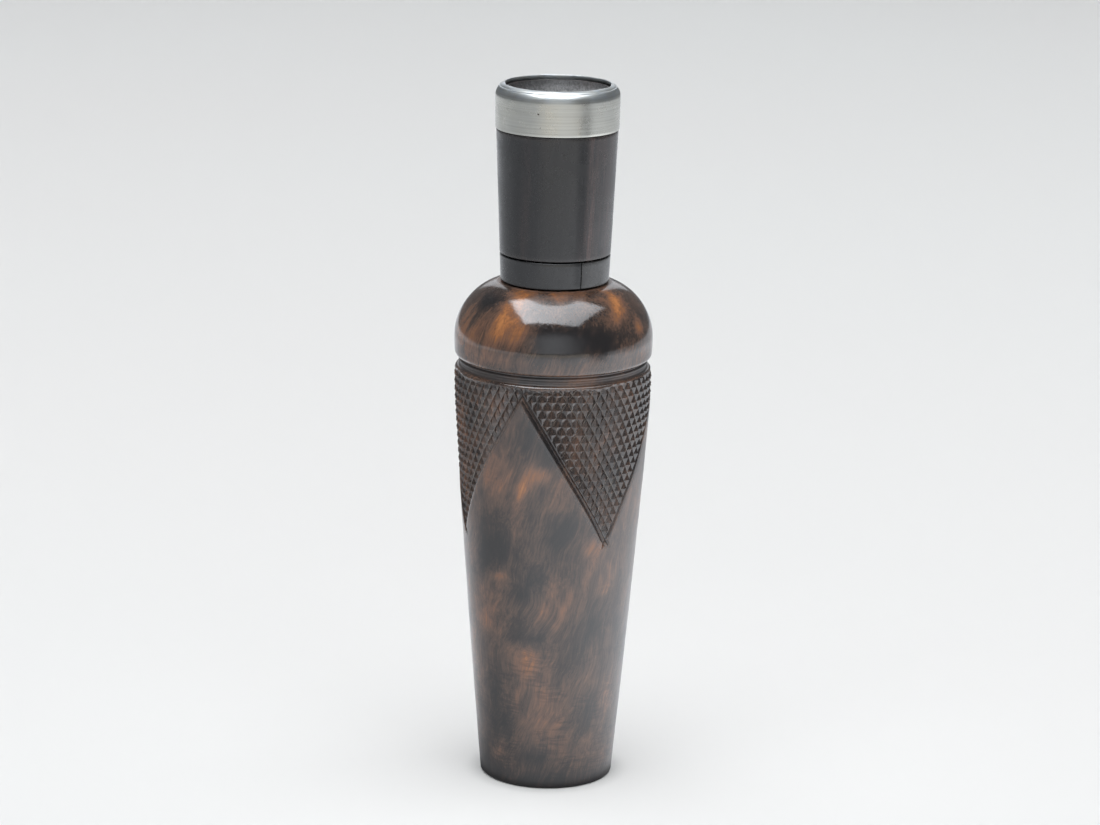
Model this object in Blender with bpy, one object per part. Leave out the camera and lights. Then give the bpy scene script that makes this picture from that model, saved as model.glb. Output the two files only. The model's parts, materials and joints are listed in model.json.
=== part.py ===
"""A two-part duck call, standing on the mouthpiece end of its barrel.

The barrel is one turned piece of burl. The stopper pushes into its mouth: two half-round
pieces, the tone board and the reed block, hold a brass reed between them, and a turned stem
with a metal band sits on the spigot that the two halves make together.

Frame: metres, +Z up along the call's axis, origin at the centre of the mouthpiece end's face.
"""

import math

import bmesh
import bpy
from mathutils import Matrix, Vector

MM = 0.001

# Barrel: the outside, from the foot up
FOOT_RADIUS = 12.5 * MM
FOOT_ROUND = 0.6 * MM
TAPER_TOP_Z = 70.0 * MM
TAPER_TOP_RADIUS = 18.1 * MM
SHOULDER_Z = 78.0 * MM
SHOULDER_RADIUS = 18.42 * MM
GROOVE_RADIUS = 17.25 * MM
GROOVE_LOW_Z = 79.6 * MM
GROOVE_HIGH_Z = 80.5 * MM
DOME_RADIUS = 18.5 * MM
DOME_WIDEST_Z = 84.5 * MM
DOME_AXIS_RADIUS = 8.0 * MM
DOME_RISE = 11.0 * MM
MOUTH_FACE_RADIUS = 10.5 * MM

# Barrel: the inside
MOUTHPIECE_FLARE_RADIUS = 9.3 * MM
MOUTHPIECE_FLARE_DEPTH = 3.0 * MM
BORE_RADIUS = 8.0 * MM
SOCKET_FLOOR_Z = 74.0 * MM
SOCKET_FLOOR_RADIUS = 8.85 * MM
SOCKET_MOUTH_RADIUS = 9.15 * MM

# Stopper: the two halves that hold the reed
SEAM_ANGLE = math.radians(-61.5)
COLLAR_GAP = 0.3 * MM
COLLAR_LENGTH = 4.9 * MM
COLLAR_LOW_RADIUS = 10.05 * MM
COLLAR_HIGH_RADIUS = 10.24 * MM
PLUG_CLEARANCE = 0.2 * MM
PLUG_FOOT_Z = 76.0 * MM
BOARD_RADIUS = 7.4 * MM
BOARD_TAPER_Z = 57.0 * MM
BOARD_TIP_RADIUS = 5.4 * MM
BOARD_TIP_Z = 46.0 * MM
SPIGOT_RADIUS = 7.75 * MM
SPIGOT_LENGTH = 11.8 * MM
SPLIT_GAP = 0.2 * MM
CHANNEL_END_Z = 49.5 * MM
CHANNEL_TIP_RADIUS = 3.0 * MM
CHANNEL_TOP_RADIUS = 4.9 * MM
BLOCK_CHANNEL_Z = 99.2 * MM

# Reed
REED_WIDTH = 10.4 * MM
REED_TIP_WIDTH = 8.4 * MM
REED_THICKNESS = 0.3 * MM
REED_HEEL_Z = 97.0 * MM
REED_TIP_Z = 48.0 * MM
REED_LIFT = math.radians(2.5)
REED_CORNER = 2.2 * MM
REED_JOINT_GAP = 0.3 * MM
REED_SLOT_DEPTH = 0.45 * MM
REED_SLOT_WIDTH = 11.2 * MM

# Locating pins across the split
PIN_RADIUS = 0.8 * MM
PIN_HALF_LENGTH = 3.2 * MM
PIN_OFFSET = 7.2 * MM
PIN_HOLE_CLEARANCE = 0.2 * MM

# Stem and its band
STEM_GAP = 0.3 * MM
STEM_TOP_Z = 131.25 * MM
STEM_LOW_RADIUS = 10.26 * MM
STEM_HIGH_RADIUS = 11.2 * MM
STEM_SOCKET_RADIUS = 8.0 * MM
STEM_THROAT_RADIUS = 5.6 * MM
STEM_EXHAUST_RADIUS = 9.4 * MM
BAND_LOW_Z = 123.8 * MM
BAND_ROUND_Z = 129.7 * MM
BAND_TOP_Z = 132.0 * MM
BAND_LOW_RADIUS = 11.36 * MM
BAND_HIGH_RADIUS = 11.45 * MM
BAND_INNER_RADIUS = 10.75 * MM
BAND_LIP_RADIUS = 9.62 * MM
BAND_WALL = 0.45 * MM

SEGMENTS = 48
SMOOTH_ANGLE = math.radians(35.0)


def clear_scene():
    """Remove whatever the file opens with."""
    for old in list(bpy.data.objects):
        bpy.data.objects.remove(old, do_unlink=True)


def material(name, colour, roughness, metallic=0.0):
    """A Principled material with one colour."""
    made = bpy.data.materials.new(name)
    made.use_nodes = True
    shader = made.node_tree.nodes["Principled BSDF"]
    shader.inputs["Base Color"].default_value = (*colour, 1.0)
    shader.inputs["Roughness"].default_value = roughness
    shader.inputs["Metallic"].default_value = metallic
    return made


def object_from(name, mesh_data, finish):
    """Link a finished bmesh into the scene as an object with its material."""
    mesh = bpy.data.meshes.new(name)
    mesh_data.to_mesh(mesh)
    mesh_data.free()
    mesh.shade_smooth()
    mesh.set_sharp_from_angle(angle=SMOOTH_ANGLE)
    mesh.materials.append(finish)
    made = bpy.data.objects.new(name, mesh)
    bpy.context.scene.collection.objects.link(made)
    return made


def arc(centre, radii, start, end, steps):
    """Points (radius, z) along an elliptic arc, angles in degrees from outwards to upwards."""
    points = []
    for i in range(steps + 1):
        angle = math.radians(start + (end - start) * i / steps)
        points.append((centre[0] + radii[0] * math.cos(angle), centre[1] + radii[1] * math.sin(angle)))
    return points


def turned(name, outline, finish, segments=SEGMENTS):
    """Turn an outline of (radius, z) points about Z.

    An outline whose ends lie on the axis makes a solid with two poles. Any other outline is
    a closed loop that makes a ring. Outlines run with the material on their left.
    """
    solid = bmesh.new()
    on_axis = outline[0][0] == 0.0
    rings = []
    for radius, z in outline:
        if radius == 0.0:
            rings.append([solid.verts.new((0.0, 0.0, z))] * segments)
            continue
        ring = []
        for i in range(segments):
            angle = 2.0 * math.pi * i / segments
            ring.append(solid.verts.new((radius * math.cos(angle), radius * math.sin(angle), z)))
        rings.append(ring)
    pairs = list(zip(rings, rings[1:]))
    if not on_axis:
        pairs.append((rings[-1], rings[0]))
    for low, high in pairs:
        for i in range(segments):
            j = (i + 1) % segments
            corners = []
            for vertex in (low[i], low[j], high[j], high[i]):
                if vertex not in corners:
                    corners.append(vertex)
            solid.faces.new(corners)
    bmesh.ops.recalc_face_normals(solid, faces=solid.faces)
    return object_from(name, solid, finish)


def box(name, low, high, finish):
    """A box between two corners."""
    solid = bmesh.new()
    middle = (Vector(low) + Vector(high)) / 2
    size = Vector(high) - Vector(low)
    bmesh.ops.create_cube(solid, size=1.0, matrix=Matrix.Translation(middle) @ Matrix.Diagonal((*size, 1.0)))
    return object_from(name, solid, finish)


def cut(target, cutter, operation="DIFFERENCE"):
    """Cut one object with another, which then only guides the cut."""
    step = target.modifiers.new(cutter.name, "BOOLEAN")
    step.operation = operation
    step.object = cutter
    cutter.hide_render = True
    cutter.display_type = "WIRE"


def barrel_outside():
    """The barrel's outline from the edge of its foot to the edge of its mouth."""
    outline = arc((FOOT_RADIUS - FOOT_ROUND, FOOT_ROUND), (FOOT_ROUND, FOOT_ROUND), -90, 0, 3)
    outline.append((TAPER_TOP_RADIUS, TAPER_TOP_Z))
    slope = (TAPER_TOP_RADIUS - FOOT_RADIUS) / (TAPER_TOP_Z - FOOT_ROUND)
    length = SHOULDER_Z - TAPER_TOP_Z
    for share in (0.4, 0.8):
        rise = length * share
        outline.append((TAPER_TOP_RADIUS + slope * (rise - rise * rise / (2 * length)), TAPER_TOP_Z + rise))
    shoulder = (SHOULDER_RADIUS - GROOVE_RADIUS, GROOVE_LOW_Z - SHOULDER_Z)
    outline += arc((GROOVE_RADIUS, SHOULDER_Z), shoulder, 0, 80, 4)
    outline.append((GROOVE_RADIUS, GROOVE_LOW_Z))
    lip = (DOME_RADIUS - GROOVE_RADIUS, DOME_WIDEST_Z - GROOVE_HIGH_Z)
    outline += arc((GROOVE_RADIUS, DOME_WIDEST_Z), lip, -90, 0, 5)
    dome_span = DOME_RADIUS - DOME_AXIS_RADIUS
    mouth_angle = math.degrees(math.acos((MOUTH_FACE_RADIUS - DOME_AXIS_RADIUS) / dome_span))
    outline += arc((DOME_AXIS_RADIUS, DOME_WIDEST_Z), (dome_span, DOME_RISE), 0, mouth_angle, 9)[1:]
    return outline


def mouth_height():
    """The height of the barrel's mouth face, where the dome reaches its edge."""
    return barrel_outside()[-1][1]


def make_barrel(finish):
    """The barrel: a turned tube with a flared mouthpiece and a tapered socket for the stopper."""
    top = mouth_height()
    outline = barrel_outside() + [
        (SOCKET_MOUTH_RADIUS, top),
        (SOCKET_FLOOR_RADIUS, SOCKET_FLOOR_Z),
        (BORE_RADIUS, SOCKET_FLOOR_Z),
        (BORE_RADIUS, MOUTHPIECE_FLARE_DEPTH),
    ]
    outline += arc(
        (MOUTHPIECE_FLARE_RADIUS, MOUTHPIECE_FLARE_DEPTH),
        (MOUTHPIECE_FLARE_RADIUS - BORE_RADIUS, MOUTHPIECE_FLARE_DEPTH), 180, 270, 3,
    )[1:]
    return turned("barrel", outline, finish)


def plug_radius(z):
    """The plug's radius at a height, a clearance inside the barrel's tapered socket."""
    share = (z - SOCKET_FLOOR_Z) / (mouth_height() - SOCKET_FLOOR_Z)
    return SOCKET_FLOOR_RADIUS + (SOCKET_MOUTH_RADIUS - SOCKET_FLOOR_RADIUS) * share - PLUG_CLEARANCE


def collar_z():
    """The heights of the collar's lower and upper faces."""
    low = mouth_height() + COLLAR_GAP
    return low, low + COLLAR_LENGTH


def upper_outline():
    """The outline that both halves share: plug, collar and spigot, from the plug's foot up."""
    low, high = collar_z()
    return [
        (plug_radius(PLUG_FOOT_Z), PLUG_FOOT_Z),
        (plug_radius(low), low),
        (COLLAR_LOW_RADIUS, low),
        (COLLAR_HIGH_RADIUS, high),
        (SPIGOT_RADIUS, high),
        (SPIGOT_RADIUS, high + SPIGOT_LENGTH),
        (0.0, high + SPIGOT_LENGTH),
    ]


def channel_cutter(name, end_z, end_radius, finish):
    """A tapered, round-ended cutter for the air channel, open at the spigot's top."""
    top = collar_z()[1] + 2 * SPIGOT_LENGTH
    outline = [(0.0, end_z)]
    outline += arc((0.0, end_z + end_radius), (end_radius, end_radius), -60, 0, 3)
    outline += [(CHANNEL_TOP_RADIUS, collar_z()[1] + SPIGOT_LENGTH), (CHANNEL_TOP_RADIUS, top), (0.0, top)]
    return turned(name, outline, finish, segments=24)


def half_space(name, side, finish):
    """A block that fills one side of the split, a small gap from its plane."""
    reach = 2 * COLLAR_HIGH_RADIUS
    near, far = sorted((side * SPLIT_GAP / 2, side * reach))
    return box(name, (-reach, near, 0.0), (reach, far, 2 * STEM_TOP_Z), finish)


def pin_object(name, x, radius, half_length, finish):
    """A round bar across the split plane, at a height in the middle of the collar."""
    low, high = collar_z()
    bar = turned(name, [(0.0, -half_length), (radius, -half_length), (radius, half_length), (0.0, half_length)],
                 finish, segments=16)
    bar.data.transform(Matrix.Translation((x, 0.0, (low + high) / 2)) @ Matrix.Rotation(math.pi / 2, 4, "X"))
    return bar


def cut_pin_holes(target, finish):
    """Drill a half's two blind holes for the locating pins."""
    for side, where in ((-1, "left"), (1, "right")):
        hole = pin_object(f"{target.name}_{where}_hole_cutter", side * PIN_OFFSET, PIN_RADIUS + PIN_HOLE_CLEARANCE,
                          PIN_HALF_LENGTH + PIN_HOLE_CLEARANCE, finish)
        cut(target, hole)


def make_tone_board(finish):
    """The half with the air channel. Below the plug it runs on as the board under the reed."""
    outline = [
        (0.0, BOARD_TIP_Z),
        (BOARD_TIP_RADIUS, BOARD_TIP_Z),
        (BOARD_RADIUS, BOARD_TAPER_Z),
        (BOARD_RADIUS, PLUG_FOOT_Z),
    ]
    board = turned("tone_board", outline + upper_outline(), finish)
    cut(board, half_space("board_side_cutter", -1, finish), "INTERSECT")
    cut(board, channel_cutter("board_channel_cutter", CHANNEL_END_Z, CHANNEL_TIP_RADIUS, finish))
    cut_pin_holes(board, finish)
    return board


def make_reed_block(finish):
    """The other half, which ends at the plug's foot and clamps the reed's heel in its slot."""
    block = turned("reed_block", [(0.0, PLUG_FOOT_Z)] + upper_outline(), finish)
    cut(block, half_space("block_side_cutter", 1, finish), "INTERSECT")
    cut(block, channel_cutter("block_channel_cutter", BLOCK_CHANNEL_Z, CHANNEL_TOP_RADIUS, finish))
    half_slot = REED_SLOT_WIDTH / 2
    slot_top = REED_HEEL_Z + REED_JOINT_GAP
    slot_low = (-half_slot, -REED_SLOT_DEPTH, BOARD_TIP_Z)
    cut(block, box("reed_slot_cutter", slot_low, (half_slot, REED_SLOT_DEPTH, slot_top), finish))
    cut_pin_holes(block, finish)
    return block


def strip(name, outline, finish):
    """A flat strip of reed brass from an outline of (x, z) points, lying on the tone board's side."""
    solid = bmesh.new()
    corners = [solid.verts.new((x, 0.0, z)) for x, z in outline]
    face = solid.faces.new(corners)
    raised = bmesh.ops.extrude_face_region(solid, geom=[face])["geom"]
    moved = [item for item in raised if isinstance(item, bmesh.types.BMVert)]
    bmesh.ops.translate(solid, verts=moved, vec=(0.0, REED_THICKNESS, 0.0))
    bmesh.ops.recalc_face_normals(solid, faces=solid.faces)
    return object_from(name, solid, finish)


def make_reed_heel(finish):
    """The clamped part of the reed, which doesn't move."""
    half = REED_WIDTH / 2
    foot = PLUG_FOOT_Z + REED_JOINT_GAP / 2
    return strip("reed_heel", [(-half, foot), (half, foot), (half, REED_HEEL_Z), (-half, REED_HEEL_Z)], finish)


def make_reed_tongue(finish):
    """The free part of the reed, modelled about its root, where it bends, and lifted off the board."""
    root = -REED_JOINT_GAP / 2
    tip = REED_TIP_Z - PLUG_FOOT_Z
    half, tip_half = REED_WIDTH / 2, REED_TIP_WIDTH / 2
    right_corner = arc((tip_half - REED_CORNER, tip + REED_CORNER), (REED_CORNER, REED_CORNER), 0, -90, 4)
    left_corner = [(-x, z) for x, z in reversed(right_corner)]
    tongue = strip("reed_tongue", [(half, root), *right_corner, *left_corner, (-half, root)], finish)
    tongue.data.transform(Matrix.Rotation(REED_LIFT, 4, "X"))
    tongue.location = (0.0, 0.0, PLUG_FOOT_Z)
    return tongue


def make_stem(finish):
    """The stem: a turned tube with a socket below, a flared exhaust above and a neck for the band."""
    foot = collar_z()[1] + STEM_GAP
    socket_top = collar_z()[1] + SPIGOT_LENGTH + STEM_GAP
    neck = BAND_LOW_Z - STEM_GAP
    neck_radius = BAND_INNER_RADIUS - PLUG_CLEARANCE
    outline = [
        (STEM_SOCKET_RADIUS, foot),
        (STEM_LOW_RADIUS, foot),
        (STEM_HIGH_RADIUS, neck),
        (neck_radius, neck),
        (neck_radius, STEM_TOP_Z),
        (STEM_EXHAUST_RADIUS, STEM_TOP_Z),
        (STEM_THROAT_RADIUS, socket_top + STEM_GAP),
        (STEM_THROAT_RADIUS, socket_top),
        (STEM_SOCKET_RADIUS, socket_top),
    ]
    return turned("stem", outline, finish)


def make_stem_band(finish):
    """The metal band, rolled over the stem's end as a rounded lip."""
    lip_size = (BAND_HIGH_RADIUS - BAND_LIP_RADIUS, BAND_TOP_Z - BAND_ROUND_Z)
    outline = [(BAND_INNER_RADIUS, BAND_LOW_Z), (BAND_LOW_RADIUS, BAND_LOW_Z)]
    outline += arc((BAND_LIP_RADIUS, BAND_ROUND_Z), lip_size, 0, 90, 6)
    outline += [(BAND_LIP_RADIUS, BAND_TOP_Z - BAND_WALL), (BAND_INNER_RADIUS, BAND_TOP_Z - BAND_WALL)]
    return turned("stem_band", outline, finish)


def main():
    clear_scene()
    burl = material("walnut_burl", (0.105, 0.050, 0.028), 0.28)
    dark_wood = material("dark_hardwood", (0.022, 0.018, 0.018), 0.32)
    hard_rubber = material("hard_rubber", (0.030, 0.031, 0.034), 0.35)
    white_metal = material("white_metal", (0.72, 0.72, 0.70), 0.28, 1.0)
    brass = material("brass", (0.70, 0.50, 0.22), 0.30, 1.0)

    make_barrel(burl)
    make_stem(dark_wood)
    make_stem_band(white_metal)

    halves = [
        make_tone_board(hard_rubber),
        make_reed_block(hard_rubber),
        make_reed_heel(brass),
        make_reed_tongue(brass),
        pin_object("locating_pin_left", -PIN_OFFSET, PIN_RADIUS, PIN_HALF_LENGTH, brass),
        pin_object("locating_pin_right", PIN_OFFSET, PIN_RADIUS, PIN_HALF_LENGTH, brass),
    ]
    split_frame = bpy.data.objects.new("split_frame", None)
    split_frame.rotation_euler.z = SEAM_ANGLE
    bpy.context.scene.collection.objects.link(split_frame)
    cutters = [made for made in bpy.data.objects if made.name.endswith("_cutter")]
    for piece in halves + cutters:
        piece.parent = split_frame


main()
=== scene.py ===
"""The looks of a turned duck call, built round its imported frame.

The call stands on its mouthpiece end, +Z along its axis, with the viewer on the -Y side. Every
piece is a surface worked out as whole numpy arrays: most are an outline turned about the axis,
the two reed-holding halves and the reed are sections carried along it, and the checkering is a
relief cut into the barrel's outside. Azimuths are in degrees from the viewer's side (-Y),
counted towards the viewer's right (+X).
"""

import json
import logging
import math
from dataclasses import dataclass, field
from enum import Enum

import bpy
import numpy as np
from mathutils import Matrix, Vector


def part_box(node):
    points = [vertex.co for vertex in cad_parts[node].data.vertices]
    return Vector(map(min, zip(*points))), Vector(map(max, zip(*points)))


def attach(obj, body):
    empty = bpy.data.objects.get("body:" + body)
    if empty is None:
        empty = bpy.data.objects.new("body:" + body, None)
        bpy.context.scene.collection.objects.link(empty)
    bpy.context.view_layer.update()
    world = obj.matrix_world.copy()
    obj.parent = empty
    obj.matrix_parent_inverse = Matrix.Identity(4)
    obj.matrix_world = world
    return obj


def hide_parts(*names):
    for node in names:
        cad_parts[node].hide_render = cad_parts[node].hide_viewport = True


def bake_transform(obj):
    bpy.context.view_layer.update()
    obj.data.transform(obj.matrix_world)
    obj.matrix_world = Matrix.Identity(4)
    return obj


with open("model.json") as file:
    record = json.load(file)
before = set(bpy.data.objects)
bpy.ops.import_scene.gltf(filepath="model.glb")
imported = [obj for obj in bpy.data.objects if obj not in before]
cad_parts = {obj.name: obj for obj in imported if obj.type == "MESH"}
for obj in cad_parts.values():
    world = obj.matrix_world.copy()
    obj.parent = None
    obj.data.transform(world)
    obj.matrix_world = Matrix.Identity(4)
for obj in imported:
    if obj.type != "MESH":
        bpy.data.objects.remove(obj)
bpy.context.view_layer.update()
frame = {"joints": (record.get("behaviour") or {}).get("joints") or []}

MM = 0.001
Colour = tuple[float, float, float]
log = logging.getLogger("duck_call")


# Geometry helpers


def smoothstep(low: float, high: float, value: np.ndarray) -> np.ndarray:
    """Ease from 0 at low to 1 at high, with level ends."""
    share = np.clip((value - low) / (high - low), 0.0, 1.0)
    return share * share * (3.0 - 2.0 * share)


def azimuth_of(theta: np.ndarray) -> np.ndarray:
    """The azimuths in degrees, -180 to 180, of angles about the axis in radians."""
    return np.degrees(np.arctan2(np.cos(theta), -np.sin(theta)))


def ripple(theta: np.ndarray, z: np.ndarray, size: float, seed: int, waves: int = 7) -> np.ndarray:
    """A smooth, seamless unevenness over a turned surface, mostly between -1 and 1.

    Formula: the sum of a few cosines cos(n theta + m z + phase) over the root of their number,
    with whole numbers n so that it closes round the axis, and wavelengths near the given size
    along and across.

    Args:
        theta: Angles about the axis, in radians.
        z: Heights, in metres.
        size: The wavelength to aim for, in metres.
        seed: Chooses the waves.
        waves: How many cosines are added.

    Returns:
        The unevenness at each point.
    """
    rng = np.random.default_rng(seed)
    total = np.zeros(np.broadcast(theta, z).shape)
    turns = max(1.0, 2.0 * math.pi * 15.0 * MM / size)
    for _ in range(waves):
        direction, phase = rng.uniform(0.0, 2.0 * math.pi, 2)
        round_axis = round(turns * math.cos(direction))
        along_axis = 2.0 * math.pi / size * math.sin(direction)
        total += np.cos(round_axis * theta + along_axis * z + phase)
    return total / math.sqrt(waves)


class Outline:
    """A turned profile: (radius, height) points in metres, added run by run."""

    def __init__(self, radius: float, z: float) -> None:
        """Start the profile at one point."""
        self.runs: list[np.ndarray] = [np.array([[radius, z]])]

    def line(self, radius: float, z: float, steps: int = 1) -> "Outline":
        """Run straight to a point in equal steps."""
        start = self.runs[-1][-1]
        share = np.linspace(0.0, 1.0, steps + 1)[1:, None]
        self.runs.append(start + (np.array([radius, z]) - start) * share)
        return self

    def arc(self, centre: tuple[float, float], radii: tuple[float, float], start: float, end: float,
            steps: int) -> "Outline":
        """Add an elliptic arc.

        Args:
            centre: The ellipse's centre (radius, z).
            radii: Its half-axes (across, along).
            start: First angle in degrees, from outwards towards upwards.
            end: Last angle in degrees.
            steps: The number of chords.

        Returns:
            This outline, for the next run.
        """
        angle = np.radians(np.linspace(start, end, steps + 1))
        run = np.array(centre) + np.array(radii) * np.stack([np.cos(angle), np.sin(angle)], axis=1)
        gap = np.hypot(*(run[0] - self.runs[-1][-1]))
        self.runs.append(run[1:] if gap < 0.001 * MM else run)
        return self

    def points(self) -> np.ndarray:
        """All the points, as an (n, 2) array."""
        return np.concatenate(self.runs)


def edge_wear(points: np.ndarray, reach: float) -> np.ndarray:
    """How worn each point of a closed profile is: 1 on a sharp outer corner, fading along the profile.

    Formula: each corner's turn towards the material, as a share of a right angle, times
    exp(-(distance along the profile / reach)^2), summed and held below 1.

    Args:
        points: The closed profile, (n, 2), with the material on its left.
        reach: How far wear spreads from a corner, in metres.

    Returns:
        The wear at each point, 0 to 1.
    """
    step = np.roll(points, -1, axis=0) - points
    heading = np.arctan2(step[:, 1], step[:, 0])
    turn = np.angle(np.exp(1j * (heading - np.roll(heading, 1))))
    length = np.hypot(step[:, 0], step[:, 1])
    place = np.concatenate([[0.0], np.cumsum(length)[:-1]])
    apart = np.abs(place[:, None] - place[None, :])
    apart = np.minimum(apart, length.sum() - apart)
    share = np.clip(turn, 0.0, None) / (math.pi / 2)
    return np.clip((np.exp(-(apart / reach) ** 2) * share[None, :]).sum(axis=1), 0.0, 1.0)


def mesh_piece(name: str, grid: np.ndarray, closed_rows: bool, sharp: float = 35.0,
               turned: np.ndarray | None = None) -> bpy.types.Object:
    """Make an object from a grid of points whose columns close round.

    Args:
        name: The piece's name.
        grid: Points, (rows, columns, 3), in metres. Seen from outside, columns run to the
            right and rows run up.
        closed_rows: True if the last row joins the first, False if both ends get a cap.
        sharp: The angle in degrees past which an edge is shaded sharp.
        turned: If given, the quads become triangles, split from the lower right corner where
            this is True and from the lower left one elsewhere.

    Returns:
        The new object, at the origin.
    """
    rows, columns = grid.shape[:2]
    index = np.arange(rows * columns).reshape(rows, columns)
    right = np.roll(index, -1, axis=1)
    if closed_rows:
        low, low_right = index, right
        high, high_right = np.roll(index, -1, axis=0), np.roll(right, -1, axis=0)
    else:
        low, low_right, high, high_right = index[:-1], right[:-1], index[1:], right[1:]
    quads = np.stack([low, low_right, high_right, high], axis=-1).reshape(-1, 4)
    if turned is not None:
        quads = np.where(turned.reshape(-1, 1), np.roll(quads, -1, axis=1), quads)
        quads = np.concatenate([quads[:, [0, 1, 2]], quads[:, [0, 2, 3]]])
    faces: list[list[int]] = quads.tolist()
    if not closed_rows:
        faces.append(index[0][::-1].tolist())
        faces.append(index[-1].tolist())
    mesh = bpy.data.meshes.new(name)
    mesh.from_pydata(grid.reshape(-1, 3), [], faces)
    mesh.shade_smooth()
    mesh.set_sharp_from_angle(angle=math.radians(sharp))
    piece = bpy.data.objects.new(name, mesh)
    bpy.context.scene.collection.objects.link(piece)
    return piece


def sheet(name: str, grid: np.ndarray, finish: bpy.types.Material) -> bpy.types.Object:
    """Make a part of the studio from an open grid of points, (rows, columns, 3), and return it."""
    index = np.arange(grid.shape[0] * grid.shape[1]).reshape(grid.shape[:2])
    quads = np.stack([index[:-1, :-1], index[:-1, 1:], index[1:, 1:], index[1:, :-1]], axis=-1)
    mesh = bpy.data.meshes.new(name)
    mesh.from_pydata(grid.reshape(-1, 3), [], quads.reshape(-1, 4).tolist())
    mesh.shade_smooth()
    mesh.materials.append(finish)
    made = bpy.data.objects.new(name, mesh)
    bpy.context.scene.collection.objects.link(made)
    return made


def paint(piece: bpy.types.Object, name: str, values: np.ndarray) -> None:
    """Store one number for each point of a piece, which its material reads by name."""
    layer = piece.data.attributes.new(name, "FLOAT", "POINT")
    layer.data.foreach_set("value", np.ascontiguousarray(values, dtype=np.float32).ravel())


def turn_grid(points: np.ndarray, columns: int) -> tuple[np.ndarray, np.ndarray, np.ndarray]:
    """Spread a profile round the axis.

    Args:
        points: The profile, (rows, 2), radius and z.
        columns: How many points go round.

    Returns:
        theta, radius and z, each (rows, columns).
    """
    theta = np.linspace(0.0, 2.0 * math.pi, columns, endpoint=False)
    theta, radius = np.meshgrid(theta, points[:, 0])
    return theta, radius, np.repeat(points[:, 1:2], columns, axis=1)


def stack_polar(theta: np.ndarray, radius: np.ndarray, z: np.ndarray) -> np.ndarray:
    """Points (radius cos theta, radius sin theta, z) as one (rows, columns, 3) array."""
    return np.stack([radius * np.cos(theta), radius * np.sin(theta), z], axis=-1)


# Node helpers and the effects that finishes share


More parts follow.
